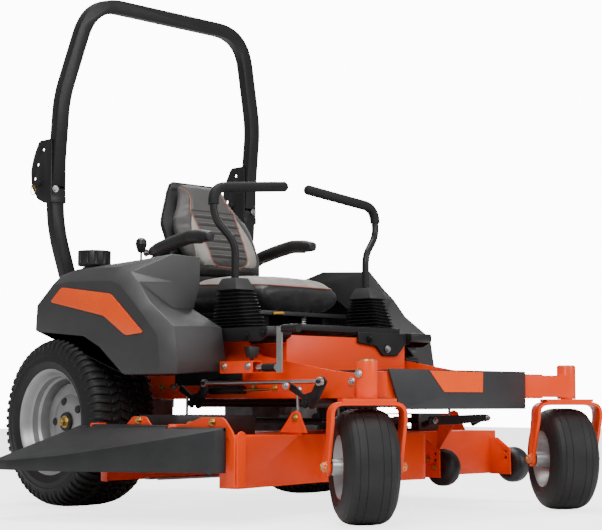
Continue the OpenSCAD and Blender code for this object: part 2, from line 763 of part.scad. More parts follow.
fork_half_w = 110;
fork_t = 10;
fork_top_z = 350;
caster_bead_r = 84;
caster_axle_r = 10;

// One caster, its post on the Z axis and its wheel trailing towards +Y
module fork() {
  leg = fork_half_w - fork_t / 2;
  intersection() {
    front_plate(-60, 120) strip(rounded([[-leg, 120], [-leg, fork_top_z - fork_t / 2],
      [leg, fork_top_z - fork_t / 2], [leg, 120]], 34, 8), fork_t);
    side_plate(-120, 120) polygon(concat([[37, fork_top_z + 1], [37, 300]],
      [for (a = [20 : -20 : -200]) [caster_trail + 25 * cos(a), caster_tyre_r + 25 * sin(a)]],
      [[-37, 300], [-37, fork_top_z + 1]]));
  }
  box([-78, -38, fork_top_z], [78, 38, 359.5]);
  rod_z(359, 455, 0, 0, stem_r);
  rod_x(-fork_half_w - 12, fork_half_w + 12, caster_trail, caster_tyre_r, caster_axle_r);
  for (s = [-1, 1]) translate([s * (fork_half_w + 5), caster_trail, caster_tyre_r])
    rotate([0, 90, 0]) cylinder(r = 15, h = 10, center = true, $fn = 6);
}

module caster_tyre() translate([0, caster_trail, caster_tyre_r])
  tyre(caster_tyre_r, caster_tyre_w, caster_bead_r, 34);

module caster_rim() translate([0, caster_trail, caster_tyre_r]) difference() {
  union() {
    rotate([0, 90, 0]) rotate_extrude($fn = 96)
      polygon(rim_section(caster_bead_r, caster_tyre_w / 2 * 0.76, 68, 28));
    rod_x(-3, 3, 0, 0, 68);
    rod_x(-96, 96, 0, 0, 24);
  }
  rod_x(-100, 100, 0, 0, caster_axle_r + run_gap);
}

module at_caster(side) on_machine()
  translate([side * caster_half_track, caster_y, 0]) rotate(-caster_turn) children();

module right_fork() at_caster(-1) color(orange) fork();

module right_caster_tyre() at_caster(-1) color(rubber_black) caster_tyre();

module right_caster_rim() at_caster(-1) color(silver) caster_rim();

module left_fork() at_caster(1) color(orange) fork();

module left_caster_tyre() at_caster(1) color(rubber_black) caster_tyre();

module left_caster_rim() at_caster(1) color(silver) caster_rim();

// ---------- deck lift ----------

crank_x = [-386, -380];
crank_outline = [[-8, -18], [8, -18], [26, 6], [hanger_tip.x + 12, hanger_tip.y - 6],
  [hanger_tip.x + 4, hanger_tip.y + 14], [hanger_tip.x - 12, hanger_tip.y + 8], [34, 26], [0, 34],
  [rod_tip.x + 22, rod_tip.y + 10], [rod_tip.x, rod_tip.y + 16], [rod_tip.x - 16, rod_tip.y],
  [rod_tip.x - 4, rod_tip.y - 20]];

module lift_arms(y) {
  both_sides() side_plate(crank_x[0], crank_x[1])
    polygon(rounded_loop([for (p = crank_outline) p + [y, lift_pivot_z]], 4, 3));
  rod_x(crank_x[0] + 1, -crank_x[0] - 1, y, lift_pivot_z, 14);
}

module front_lift_arms() on_machine() color(frame_black) {
  lift_arms(lift_pivots[0]);
  rod_x(-410, crank_x[0] + 1, lift_pivots[0] + rod_tip.x, lift_pivot_z + rod_tip.y, 6);
}

module rear_lift_arms() on_machine() color(frame_black) {
  lift_arms(lift_pivots[1]);
  rod_x(-410, crank_x[0] + 1, lift_pivots[1] + rod_tip.x, lift_pivot_z + rod_tip.y, 6);
}

module lift_rod() on_machine() color(silver) difference() {
  union() {
    rod_y(lift_pivots[0] + rod_tip.x + 8, lift_pivots[1] + rod_tip.x - 8, -398,
      lift_pivot_z + rod_tip.y, 5);
    for (y = lift_pivots) rod_x(-404, -392, y + rod_tip.x, lift_pivot_z + rod_tip.y, 13);
  }
  for (y = lift_pivots) rod_x(-420, -380, y + rod_tip.x, lift_pivot_z + rod_tip.y, 6 + run_gap);
}

pedal_pivot = [-400, 500];

module lift_pedal() on_machine() color(frame_black) {
  side_plate(390, 398) polygon(rounded_loop([[pedal_pivot.x - 16, pedal_pivot.y - 18],
    [pedal_pivot.x + 16, pedal_pivot.y - 14], [-314, 532], [-318, 558], [-348, 556]], 8, 3));
  rod_x(397, 444, -336, 540, 18);
  rod_x(rail_x, 391, pedal_pivot.x, pedal_pivot.y - 2, 10);
}

// ---------- hand controls ----------

throttle = [-372, 186];

module throttle_lever() on_machine() color(rubber_black) {
  rod_z(425, 868, throttle.x, throttle.y, 4);
  rod_x(throttle.x - 5, -rail_x, throttle.y, 425, 7);
  translate([throttle.x, throttle.y, 866]) rotate_extrude($fn = 48)
    polygon([[0, 0], [11, 0], [15, 10], [20, 28], [18, 42], [10, 50], [0, 52]]);
}

module height_knob() on_machine() color(rubber_black) {
  rod_z(selector_z + 20, 490, selector_x, knob_y, knob_pin_r);
  front_plate(knob_y - 12, knob_y + 12) polygon([[selector_x - 12, 488], [selector_x + 12, 488],
    [selector_x + 22, 522], [selector_x - 22, 522]]);
}

module side_lever() on_machine() color(silver) {
  rod_y(-556, -466, selector_x, lever_axis_z, 11);
  front_plate(-578, -556) polygon([[selector_x - 3, 440], [selector_x + 3, 440],
    [selector_x + 3, 582], [selector_x - 3, 582]]);
  rod_y(-646, -577, selector_x, 574, 10);
}

right_frame_rail();
left_frame_rail();
front_beam();
rear_frame();
seat_wall();
foot_platform();
console_covers();
right_fender();
left_fender();
fender_trims();
fuel_tank();
battery();
rops_posts();
engine_block();
engine_shroud();
muffler();
transaxles();
lever_bellows();
seat_platform();
seat_shell();
seat_cushion();
seat_back();
right_armrest();
left_armrest();
right_lever_base();
right_lever();
left_lever_base();
left_lever();
rops_hoop();
deck_shell();
belt_covers();
spindle_housings();
deck_belt();
deck_hangers();
chute_hinge();
chute_deflector();
inner_roller();
outer_roller();
right_blade();
centre_blade();
left_blade();
clutch_pulley();
right_rear_tyre();
right_rear_rim();
left_rear_tyre();
left_rear_rim();
right_fork();
right_caster_tyre();
right_caster_rim();
left_fork();
left_caster_tyre();
left_caster_rim();
front_lift_arms();
rear_lift_arms();
lift_rod();
lift_pedal();
throttle_lever();
height_knob();
side_lever();
fuel_cap();
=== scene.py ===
import math

import bmesh
import bpy
import numpy as np
from mathutils import Matrix, Vector


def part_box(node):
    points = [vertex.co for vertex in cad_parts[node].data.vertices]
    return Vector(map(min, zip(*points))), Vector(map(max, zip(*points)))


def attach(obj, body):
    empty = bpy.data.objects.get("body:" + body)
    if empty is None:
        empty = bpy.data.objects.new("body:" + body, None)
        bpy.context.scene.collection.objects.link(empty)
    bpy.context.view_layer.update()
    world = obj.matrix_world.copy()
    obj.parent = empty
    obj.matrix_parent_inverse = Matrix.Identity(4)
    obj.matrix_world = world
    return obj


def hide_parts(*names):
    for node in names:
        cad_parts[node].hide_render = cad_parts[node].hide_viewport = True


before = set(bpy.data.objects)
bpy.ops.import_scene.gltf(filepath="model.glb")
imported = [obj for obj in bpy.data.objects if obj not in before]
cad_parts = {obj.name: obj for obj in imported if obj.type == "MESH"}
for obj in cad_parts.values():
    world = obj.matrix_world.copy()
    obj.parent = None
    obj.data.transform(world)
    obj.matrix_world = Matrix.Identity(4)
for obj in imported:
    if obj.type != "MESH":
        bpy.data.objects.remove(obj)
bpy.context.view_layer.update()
scene = bpy.context.scene
print("frame loaded:", len(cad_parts), "nodes")

# The machine's own origin is under the middle of its rear axle line, 300 mm ahead of the axle
rimLow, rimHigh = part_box("right_rear_rim")
farLow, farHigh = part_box("left_rear_rim")
shift = Vector(((rimLow.x + farHigh.x) / 2, (rimLow.y + rimHigh.y) / 2 - 0.3, 0))


def at(x, y, z):  # a place in machine millimetres, in the frame's metres
    return shift + Vector((x, y, z)) / 1000


# ---- camera, light and floor

cameraSetup = {
    "place": (-3623.7, -3991.7, 346.5),  # mm
    "turn": (95.1, 0, -44.3),  # degrees
    "lens": 91.37,
    "shift": (-0.018, 0.003),
}


def makeCamera(setup):
    data = bpy.data.cameras.new("camera")
    data.lens, data.sensor_width = setup["lens"], 36
    data.shift_x, data.shift_y = setup["shift"]
    data.clip_end = 60
    camera = bpy.data.objects.new("camera", data)
    camera.location = at(*setup["place"])
    camera.rotation_euler = [math.radians(a) for a in setup["turn"]]
    scene.collection.objects.link(camera)
    scene.camera = camera


lamps = {  # place in metres, size, watts
    "key": ((-3.4, -3.2, 3.6), 1.8, 170),
    "front": ((1.6, -4.6, 2.6), 2.0, 95),
    "top": ((0.2, 0.4, 5.0), 2.4, 200),
    "back": ((3.2, 3.0, 3.0), 2.0, 80),
}


def makeLight(table):
    for name, (place, size, power) in table.items():
        data = bpy.data.lights.new(name, "AREA")
        data.size, data.energy = size, power
        lamp = bpy.data.objects.new(name, data)
        lamp.location = place
        lamp.rotation_euler = (Vector((0, 0, 0.7)) - Vector(place)).to_track_quat("-Z", "Y").to_euler()
        scene.collection.objects.link(lamp)
    world = bpy.data.worlds.new("studio")
    world.use_nodes = True
    tree = world.node_tree
    tree.nodes.clear()
    # the backdrop is seen brighter than it lights the machine
    seen = put(tree, "ShaderNodeLightPath").outputs["Is Camera Ray"]
    strength = put(tree, "ShaderNodeMapRange", {"Value": seen, "To Min": 0.34, "To Max": 12.0})
    sky = put(tree, "ShaderNodeBackground", {"Color": (1, 1, 1, 1), "Strength": strength.outputs["Result"]})
    put(tree, "ShaderNodeOutputWorld", {"Surface": sky.outputs[0]})
    scene.world = world


# ---- materials


def linear(code):  # "#rrggbb" to the renderer's linear colour
    parts = [int(code[i : i + 2], 16) / 255 for i in (1, 3, 5)]
    return [c / 12.92 if c <= 0.04045 else ((c + 0.055) / 1.055) ** 2.4 for c in parts] + [1]


def put(tree, kind, inputs=None, **settings):  # adds a node with its settings and links
    node = tree.nodes.new(kind)
    for name, value in settings.items():
        setattr(node, name, value)
    for key, value in (inputs or {}).items():
        if isinstance(value, bpy.types.NodeSocket):
            tree.links.new(value, node.inputs[key])
        else:
            node.inputs[key].default_value = value
    return node


def startMaterial(name):
    material = bpy.data.materials.new(name)
    material.use_nodes = True
    tree = material.node_tree
    tree.nodes.clear()
    where = put(tree, "ShaderNodeTexCoord").outputs["Object"]
    return material, tree, where


def finishMaterial(material, tree, inputs):
    shader = put(tree, "ShaderNodeBsdfPrincipled", inputs)
    put(tree, "ShaderNodeOutputMaterial", {"Surface": shader.outputs[0]})
    return material


def twoTone(tree, factor, low, high):
    ramp = put(tree, "ShaderNodeValToRGB", {"Fac": factor})
    ramp.color_ramp.elements[0].color, ramp.color_ramp.elements[1].color = low, high
    ramp.color_ramp.elements[0].position, ramp.color_ramp.elements[1].position = 0.3, 0.7
    return ramp.outputs["Color"]


# Powder coat over steel: even colour, a fine orange peel about 2 mm across, a little dulled by dust
def powderCoat(name, colour, dusty, roughness, peel=0.06):
    material, tree, where = startMaterial(name)
    cloud = put(tree, "ShaderNodeTexNoise", {"Vector": where, "Scale": 7, "Detail": 4})
    skin = put(tree, "ShaderNodeTexNoise", {"Vector": where, "Scale": 420, "Detail": 2})
    bump = put(tree, "ShaderNodeBump", {"Height": skin.outputs["Fac"], "Strength": peel, "Distance": 0.001})
    gloss = put(tree, "ShaderNodeMapRange", {"Value": cloud.outputs["Fac"], "To Min": roughness - 0.05,
                                             "To Max": roughness + 0.08})
    return finishMaterial(material, tree, {
        "Base Color": twoTone(tree, cloud.outputs["Fac"], linear(colour), linear(dusty)),
        "Roughness": gloss.outputs["Result"], "Normal": bump.outputs["Normal"],
        "Specular IOR Level": 0.28, "Coat Weight": 0.08, "Coat Roughness": 0.25})


# Injection moulded plastic: a pebbled grain from the etched mould, drawn 1.6 mm across
def mouldedPlastic(name, colour, worn, roughness, grain=0.3):
    material, tree, where = startMaterial(name)
    cloud = put(tree, "ShaderNodeTexNoise", {"Vector": where, "Scale": 9, "Detail": 5})
    pebble = put(tree, "ShaderNodeTexVoronoi", {"Vector": where, "Scale": 620})
    bump = put(tree, "ShaderNodeBump", {"Height": pebble.outputs["Distance"], "Strength": grain,
                                        "Distance": 0.0006})
    gloss = put(tree, "ShaderNodeMapRange", {"Value": cloud.outputs["Fac"], "To Min": roughness - 0.06,
                                             "To Max": roughness + 0.08})
    return finishMaterial(material, tree, {
        "Base Color": twoTone(tree, cloud.outputs["Fac"], linear(colour), linear(worn)),
        "Roughness": gloss.outputs["Result"], "Normal": bump.outputs["Normal"]})


# Vulcanised rubber: nearly black, dull, with a bloom that greys it in patches
def rubberSkin(name, colour, bloom, roughness, depth=0.0006):
    material, tree, where = startMaterial(name)
    cloud = put(tree, "ShaderNodeTexNoise", {"Vector": where, "Scale": 14, "Detail": 6})
    skin = put(tree, "ShaderNodeTexNoise", {"Vector": where, "Scale": 300, "Detail": 3})
    bump = put(tree, "ShaderNodeBump", {"Height": skin.outputs["Fac"], "Strength": 0.35, "Distance": depth})
    return finishMaterial(material, tree, {
        "Base Color": twoTone(tree, cloud.outputs["Fac"], linear(colour), linear(bloom)),
        "Roughness": roughness, "Normal": bump.outputs["Normal"], "Specular IOR Level": 0.4})


# Seat vinyl: embossed leather grain about 2.5 mm across, soft highlights
def grainVinyl(name, colour, creased, roughness):
    material, tree, where = startMaterial(name)
    cloud = put(tree, "ShaderNodeTexNoise", {"Vector": where, "Scale": 16, "Detail": 5})
    cells = put(tree, "ShaderNodeTexVoronoi", {"Vector": where, "Scale": 400, "Randomness": 1.0},
                feature="DISTANCE_TO_EDGE")
    bump = put(tree, "ShaderNodeBump", {"Height": cells.outputs["Distance"], "Strength": 0.45,
                                        "Distance": 0.0009})
    return finishMaterial(material, tree, {
        "Base Color": twoTone(tree, cloud.outputs["Fac"], linear(colour), linear(creased)),
        "Roughness": roughness, "Normal": bump.outputs["Normal"], "Sheen Weight": 0.12,
        "Sheen Roughness": 0.5})


# Bare, plated or cast metal: grain stretched along X where it is brushed
def bareMetal(name, colour, stained, roughness, stretch=1.0, metallic=1.0):
    material, tree, where = startMaterial(name)
    turned = put(tree, "ShaderNodeMapping", {"Vector": where, "Scale": (1 / stretch, 1, 1)})
    cloud = put(tree, "ShaderNodeTexNoise", {"Vector": where, "Scale": 18, "Detail": 5})
    grain = put(tree, "ShaderNodeTexNoise", {"Vector": turned.outputs["Vector"], "Scale": 380, "Detail": 2})
    bump = put(tree, "ShaderNodeBump", {"Height": grain.outputs["Fac"], "Strength": 0.18,
                                        "Distance": 0.0004})
    gloss = put(tree, "ShaderNodeMapRange", {"Value": grain.outputs["Fac"], "To Min": roughness - 0.08,
                                             "To Max": roughness + 0.1})
    return finishMaterial(material, tree, {
        "Base Color": twoTone(tree, cloud.outputs["Fac"], linear(colour), linear(stained)),
        "Roughness": gloss.outputs["Result"], "Normal": bump.outputs["Normal"], "Metallic": metallic})


orangePaint = powderCoat("orangePowderCoat", "#fd4600", "#f24000", 0.34)
orangeGloss = powderCoat("orangeGlossMoulding", "#ff5704", "#f84e02", 0.26, 0.02)
blackPaint = powderCoat("blackPowderCoat", "#19191a", "#202021", 0.4)
charcoalPaint = powderCoat("charcoalPowderCoat", "#2e2f31", "#353638", 0.42)
charcoalPlastic = mouldedPlastic("charcoalAbs", "#313132", "#383839", 0.5)
blackPlastic = mouldedPlastic("blackPolypropylene", "#121213", "#19191a", 0.42)
blackRubber = rubberSkin("blackRubber", "#121213", "#191919", 0.5)
tyreRubber = rubberSkin("tyreRubber", "#141415", "#1d1d1d", 0.58, 0.001)
flapRubber = rubberSkin("mouldedFlapRubber", "#1b1c1d", "#242526", 0.5, 0.0012)
foamGrip = rubberSkin("foamGrip", "#101011", "#161617", 0.7, 0.0012)
seatGrey = grainVinyl("greySeatVinyl", "#96918b", "#8a857f", 0.55)
seatDark = grainVinyl("darkSeatVinyl", "#403e3d", "#393736", 0.6)
seatBlack = grainVinyl("blackSeatVinyl", "#141415", "#1a1a1b", 0.42)
seatPiping = grainVinyl("orangePiping", "#a8644c", "#985640", 0.5)
zincPlate = bareMetal("yellowZincPlate", "#cdb57a", "#bfa468", 0.32)
amberPlastic = mouldedPlastic("amberHandlePlastic", "#d9a21c", "#c99416", 0.4, 0.1)
whiteZinc = bareMetal("brightZincPlate", "#c9c9c8", "#b4b4b3", 0.3)
rimPaint = bareMetal("silverRimPaint", "#a4a4a4", "#979797", 0.4, 1.0, 0.55)
castAlloy = bareMetal("castAlloy", "#77787a", "#66676a", 0.55)
bladeSteel = bareMetal("groundBladeSteel", "#8c8d90", "#77787b", 0.38, 6.0)
hotSteel = bareMetal("heatStainedSteel", "#8f867c", "#6f6860", 0.45)



def makePaper():  # a pale studio floor that glows a little to the eye, without lighting the machine
    material, tree, where = startMaterial("palePaper")
    seen = put(tree, "ShaderNodeLightPath").outputs["Is Camera Ray"]
    glow = put(tree, "ShaderNodeMapRange", {"Value": seen, "To Min": 0, "To Max": 2.6})
    return finishMaterial(material, tree, {
        "Base Color": linear("#f2f2f2"), "Roughness": 0.9, "Emission Color": (1, 1, 1, 1),
        "Emission Strength": glow.outputs["Result"]})


floorPaper = makePaper()

# ---- small mesh tools


def newPiece(name, bm, material, smooth=40):
    mesh = bpy.data.meshes.new(name)
    bm.to_mesh(mesh)
    bm.free()
    piece = bpy.data.objects.new(name, mesh)
    scene.collection.objects.link(piece)
    dress(piece, material, smooth)
    return piece


def dress(piece, material, smooth=40):
    piece.data.materials.clear()
    piece.data.materials.append(material)
    piece.data.polygons.foreach_set("use_smooth", [True] * len(piece.data.polygons))
    piece.data.set_sharp_from_angle(angle=math.radians(smooth))


def settle(piece):  # applies every modifier, leaving a plain mesh
    graph = bpy.context.evaluated_depsgraph_get()
    graph.update()
    mesh = bpy.data.meshes.new_from_object(piece.evaluated_get(graph))
    piece.modifiers.clear()
    piece.data = mesh
    return piece


def give(piece, body, slot, *nodes):
    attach(piece, body)
    if nodes:
        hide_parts(*nodes)
    return piece


def merged(name, pieces):  # several plain pieces of one material as one
    bm = bmesh.new()
    for piece in pieces:
        bm.from_mesh(piece.data)
    material = pieces[0].data.materials[0]
    for piece in pieces:
        bpy.data.objects.remove(piece)
    return newPiece(name, bm, material)


def skin(bm, rings, capped=True):
    # joins rings of points into one closed surface, with end caps or back to the first ring
    faces = [bm.faces.new(rings[0]), bm.faces.new(rings[-1])] if capped else []
    for here, there in zip(rings, rings[1:] if capped else rings[1:] + rings[:1]):
        for j in range(len(here)):
            k = (j + 1) % len(here)
            faces.append(bm.faces.new((here[j], here[k], there[k], there[j])))
    bmesh.ops.recalc_face_normals(bm, faces=faces)


def lathe(bm, profile, steps):
    # a closed profile of (x, radius), in mm, turned about the X axis
    rings = []
    for i in range(steps):
        a = 2 * math.pi * i / steps
        rings.append([bm.verts.new(Vector((x / 1000, r * math.cos(a) / 1000, r * math.sin(a) / 1000)))
                      for x, r in profile])
    skin(bm, rings, False)


def sweep(bm, path, radii, sides=14):
    # a round bar through points in metres, with closed ends
    count = len(path)
    radii = radii if hasattr(radii, "__len__") else [radii] * count
    along = [(path[min(i + 1, count - 1)] - path[max(i - 1, 0)]).normalized() for i in range(count)]
    side = along[0].orthogonal().normalized()
    rings = []
    for i in range(count):
        side = (side - along[i] * side.dot(along[i])).normalized()
        up = along[i].cross(side)
        rings.append([bm.verts.new(path[i] + radii[i] * (side * math.cos(2 * math.pi * j / sides)
                                                         + up * math.sin(2 * math.pi * j / sides)))
                      for j in range(sides)])
    skin(bm, rings)


def roundCorners(points, radius, steps=8):
    path = [points[0]]
    for a, b, c in zip(points, points[1:], points[2:]):
        p, q = b + (a - b).normalized() * radius, b + (c - b).normalized() * radius
        path += [p * (1 - t) ** 2 + b * 2 * t * (1 - t) + q * t * t
                 for t in (i / steps for i in range(steps + 1))]
    return path + [points[-1]]


def slab(bm, outline, thickness):
    # a flat outline of points in metres, thickened by a vector
    skin(bm, [[bm.verts.new(p) for p in outline], [bm.verts.new(p + thickness) for p in outline]])


def bevelEdges(piece, width, segments=3, angle=30):
    edge = piece.modifiers.new("edge", "BEVEL")
    edge.width, edge.segments = width / 1000, segments
    edge.limit_method, edge.angle_limit = "ANGLE", math.radians(angle)
    edge.harden_normals = False
    return settle(piece)


def fromNode(node, name, material, bevel=1.2, smooth=35):
    # a merged copy of a CAD node, with its sheet and cast edges rounded
    bm = bmesh.new()
    bm.from_mesh(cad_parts[node].data)
    bmesh.ops.remove_doubles(bm, verts=bm.verts, dist=1e-5)
    bmesh.ops.dissolve_limit(bm, angle_limit=math.radians(0.6), verts=bm.verts, edges=bm.edges)
    piece = newPiece(name, bm, material, smooth)
    if bevel:
        bevelEdges(piece, bevel, 2)
        dress(piece, material, smooth)
    return piece


makeCamera(cameraSetup)
makeLight(lamps)

# ---- geometry nodes: a ring of parts, parts on points, and stitches along a line


def startTree(name, sockets):
    tree = bpy.data.node_groups.new(name, "GeometryNodeTree")
    tree.interface.new_socket("Geometry", in_out="INPUT", socket_type="NodeSocketGeometry")
    for label, kind in sockets:
        tree.interface.new_socket(label, in_out="INPUT", socket_type=kind)
    tree.interface.new_socket("Geometry", in_out="OUTPUT", socket_type="NodeSocketGeometry")
    return tree, put(tree, "NodeGroupInput").outputs


def endTree(tree, instances, material):
    real = put(tree, "GeometryNodeRealizeInstances", {0: instances})
    painted = put(tree, "GeometryNodeSetMaterial", {"Geometry": real.outputs[0], "Material": material})
    put(tree, "NodeGroupOutput", {0: painted.outputs[0]})
    return tree


def makeRingTree():  # Count copies of Part, turned about the X axis
    tree, given = startTree("ringOfParts", [("Part", "NodeSocketObject"), ("Count", "NodeSocketInt"),
                                            ("Material", "NodeSocketMaterial")])
    line = put(tree, "GeometryNodeMeshLine", {"Count": given["Count"], "Offset": (0, 0, 0)})
    part = put(tree, "GeometryNodeObjectInfo", {"Object": given["Part"]}, transform_space="ORIGINAL")
    step = put(tree, "ShaderNodeMath", {0: 2 * math.pi, 1: given["Count"]}, operation="DIVIDE")
    index = put(tree, "GeometryNodeInputIndex")
    turn = put(tree, "ShaderNodeMath", {0: index.outputs[0], 1: step.outputs[0]}, operation="MULTIPLY")
    euler = put(tree, "ShaderNodeCombineXYZ", {"X": turn.outputs[0]})
    many = put(tree, "GeometryNodeInstanceOnPoints", {
        "Points": line.outputs[0], "Instance": part.outputs["Geometry"], "Rotation": euler.outputs[0]})
    return endTree(tree, many.outputs[0], given["Material"])


def makePointTree():  # Part on every point, its Z axis along the attribute named facing
    tree, given = startTree("partsOnPoints", [("Part", "NodeSocketObject"), ("Size", "NodeSocketFloat"),
                                              ("Material", "NodeSocketMaterial")])
    part = put(tree, "GeometryNodeObjectInfo", {"Object": given["Part"]}, transform_space="ORIGINAL")
    facing = put(tree, "GeometryNodeInputNamedAttribute", {"Name": "facing"}, data_type="FLOAT_VECTOR")
    turn = put(tree, "FunctionNodeAlignRotationToVector", {"Vector": facing.outputs[0]}, axis="Z")
    many = put(tree, "GeometryNodeInstanceOnPoints", {
        "Points": given["Geometry"], "Instance": part.outputs["Geometry"],
        "Rotation": turn.outputs[0], "Scale": given["Size"]})
    return endTree(tree, many.outputs[0], given["Material"])


def makeStitchTree():  # Part every Spacing along the piece's edges
    tree, given = startTree("stitchesOnLine", [("Part", "NodeSocketObject"), ("Spacing", "NodeSocketFloat"),
                                               ("Material", "NodeSocketMaterial")])
    part = put(tree, "GeometryNodeObjectInfo", {"Object": given["Part"]}, transform_space="ORIGINAL")
    curve = put(tree, "GeometryNodeMeshToCurve", {"Mesh": given["Geometry"]})
    dots = put(tree, "GeometryNodeCurveToPoints", {"Curve": curve.outputs[0], "Length": given["Spacing"]},
               mode="LENGTH")
    many = put(tree, "GeometryNodeInstanceOnPoints", {
        "Points": dots.outputs["Points"], "Instance": part.outputs["Geometry"],
        "Rotation": dots.outputs["Rotation"]})
    return endTree(tree, many.outputs[0], given["Material"])


def grow(host, tree, values, material):  # runs a tree on an object and keeps its plain mesh
    maker = host.modifiers.new("maker", "NODES")
    maker.node_group = tree
    for item in tree.interface.items_tree:
        if item.in_out == "INPUT" and item.name in values:
            maker[item.identifier] = values[item.name]
        if item.in_out == "INPUT" and item.name == "Material":
            maker[item.identifier] = material
    settle(host)
    dress(host, material)
    return host


ringTree, pointTree, stitchTree = makeRingTree(), makePointTree(), makeStitchTree()


def ringOf(name, part, count, material):
    host = bpy.data.objects.new(name, bpy.data.meshes.new(name))
    scene.collection.objects.link(host)
    grow(host, ringTree, {"Part": part, "Count": count}, material)
    bpy.data.objects.remove(part)
    return host


def onPoints(name, part, places, material, size=1.0):  # places: (point in mm, direction)
    mesh = bpy.data.meshes.new(name)
    mesh.from_pydata([at(*p) for p, d in places], [], [])
    facing = mesh.attributes.new("facing", "FLOAT_VECTOR", "POINT")
    facing.data.foreach_set("vector", [c for p, d in places for c in d])
    host = bpy.data.objects.new(name, mesh)
    scene.collection.objects.link(host)
    return grow(host, pointTree, {"Part": part, "Size": size}, material)


def stitched(name, lines, part, spacing, material):  # lines: lists of points in metres
    points, edges = [], []
    for line in lines:
        edges += [(len(points) + i, len(points) + i + 1) for i in range(len(line) - 1)]
        points += line
    mesh = bpy.data.meshes.new(name)
    mesh.from_pydata(points, edges, [])
    host = bpy.data.objects.new(name, mesh)
    scene.collection.objects.link(host)
    return grow(host, stitchTree, {"Part": part, "Spacing": spacing / 1000}, material)


# ---- wheels

rearTyre = {"halfWidth": 133, "radius": 284, "bead": 168, "pitches": 30, "treadDepth": 10}
casterTyre = {"halfWidth": 82, "radius": 165, "bead": 84}


def rearCarcass(size):
    w, r, bead, deep = size["halfWidth"], size["radius"], size["bead"], size["treadDepth"]
    outer = [(0, r - deep + 1), (60, r - deep - 1), (96, r - deep - 5), (114, r - deep - 12),
             (w - 9, r - 38), (w - 3, r - 56), (w - 1, r - 62), (w - 3, r - 64), (w - 1, r - 76), (w, r - 82),
             (w - 3, r - 84), (w - 6, bead + 24), (w - 12, bead + 12), (w - 13, bead + 9),
             (w - 16, bead + 9), (w - 24, bead + 1), (w - 32, bead)]
    inner = [(w - 36, bead), (w - 24, bead + 26), (w - 20, r - 60), (w - 34, r - 32), (60, r - 24), (0, r - 22)]
    closed = [(-x, y) for x, y in reversed(outer[1:])] + outer + inner + [(-x, y) for x, y in reversed(inner[:-1])]
    return closed


def lug(bm, sections):
    # a rubber block through sections of (x, from, to, top, base), lengths in mm round the wheel
    rows = []
    for x, start, end, top, base in sections:
        row = []
        for t, r in ((start, base), (end, base), (end - 2, top), (start + 2, top)):
            a = t / rearTyre["radius"]
            row.append(bm.verts.new(Vector((x, r * math.sin(a), r * math.cos(a))) / 1000))
        rows.append(row)
    skin(bm, rows)


def treadPitch(size):  # one pitch of a turf tread: chevrons in the middle and lugs on both shoulders
    r, deep = size["radius"], size["treadDepth"]
    base, pitch = r - deep - 5, 2 * math.pi * r / size["pitches"]
    bm = bmesh.new()
    for s, lag in ((1, 0), (-1, pitch / 2)):
        for row, (x0, x1, lean) in enumerate(((5, 31, 12), (38, 68, -14))):
            t0 = lag + row * pitch * 0.25
            for part in (0, 0.5):
                t = t0 + part * pitch
                middle = (x0 + x1) / 2
                lug(bm, [(s * x0, t, t + 17, r - x0 * 0.02, base),
                         (s * middle, t + lean * 0.7, t + lean * 0.7 + 17, r - middle * 0.025, base),
                         (s * x1, t + lean, t + lean + 17, r - x1 * 0.03, base)])
        for part in (0, 0.5):
            t = lag + part * pitch + 3
            long = 1 if part == 0 else 0.82
            lug(bm, [(s * 75, t, t + 18, r - 3, base - 4), (s * 98, t + 4, t + 22, r - 7, base - 9),
                     (s * 117, t + 6, t + 23, r - 17, base - 22),
                     (s * (117 + 12 * long), t + 7, t + 22, r - 17 - 17 * long, base - 22 - 18 * long)])
    piece = newPiece("pitch", bm, tyreRubber)
    return bevelEdges(piece, 1.2, 1)


def turned(piece, matrix, flip=False):
    piece.data.transform(matrix)
    if flip:
        piece.data.flip_normals()
    return piece


def rimParts(wheel):
    bm = bmesh.new()
    lathe(bm, wheel["barrel"], 96)
    lathe(bm, wheel["disc"], 96)
    return newPiece("rim", bm, rimPaint, 28)


rearWheel = {
    # closed sections of (x, radius), the outer side towards -x
    "barrel": [(-121, 177), (-117, 178), (-110, 174), (-109, 169), (-98, 166), (-90, 158), (-72, 155),
               (-62, 149), (40, 149), (92, 160), (98, 166), (109, 169), (110, 174), (117, 178), (114, 171),
               (102, 163), (60, 152), (44, 144), (-58, 144), (-66, 150), (-86, 153), (-96, 161), (-112, 167)],
    "disc": [(-16, 145), (-22, 138), (-34, 128), (-38, 112), (-38, 92), (-44, 84), (-50, 60), (-50, 24),
             (-44, 24), (-44, 58), (-38, 80), (-32, 92), (-32, 112), (-28, 126), (-16, 134), (-8, 145)],
    "boltCircle": 70, "bolts": 5, "discX": -46,
}
casterWheel = {
    "barrel": [(-72, 91), (-69, 92), (-63, 89), (-62, 84), (-54, 82), (-44, 76), (-30, 70), (30, 70), (44, 76),
               (54, 82), (62, 84), (63, 89), (69, 92), (66, 85), (54, 78), (44, 72), (32, 65), (-32, 65),
               (-44, 72), (-54, 78), (-66, 85)],
    "disc": [(-34, 68), (-26, 60), (-12, 48), (-8, 30), (-8, 22), (8, 22), (8, 30), (4, 46), (-18, 58),
             (-26, 67)],
    "hub": [(-94, 14), (-94, 22), (-90, 24), (90, 24), (94, 22), (94, 14)],
}


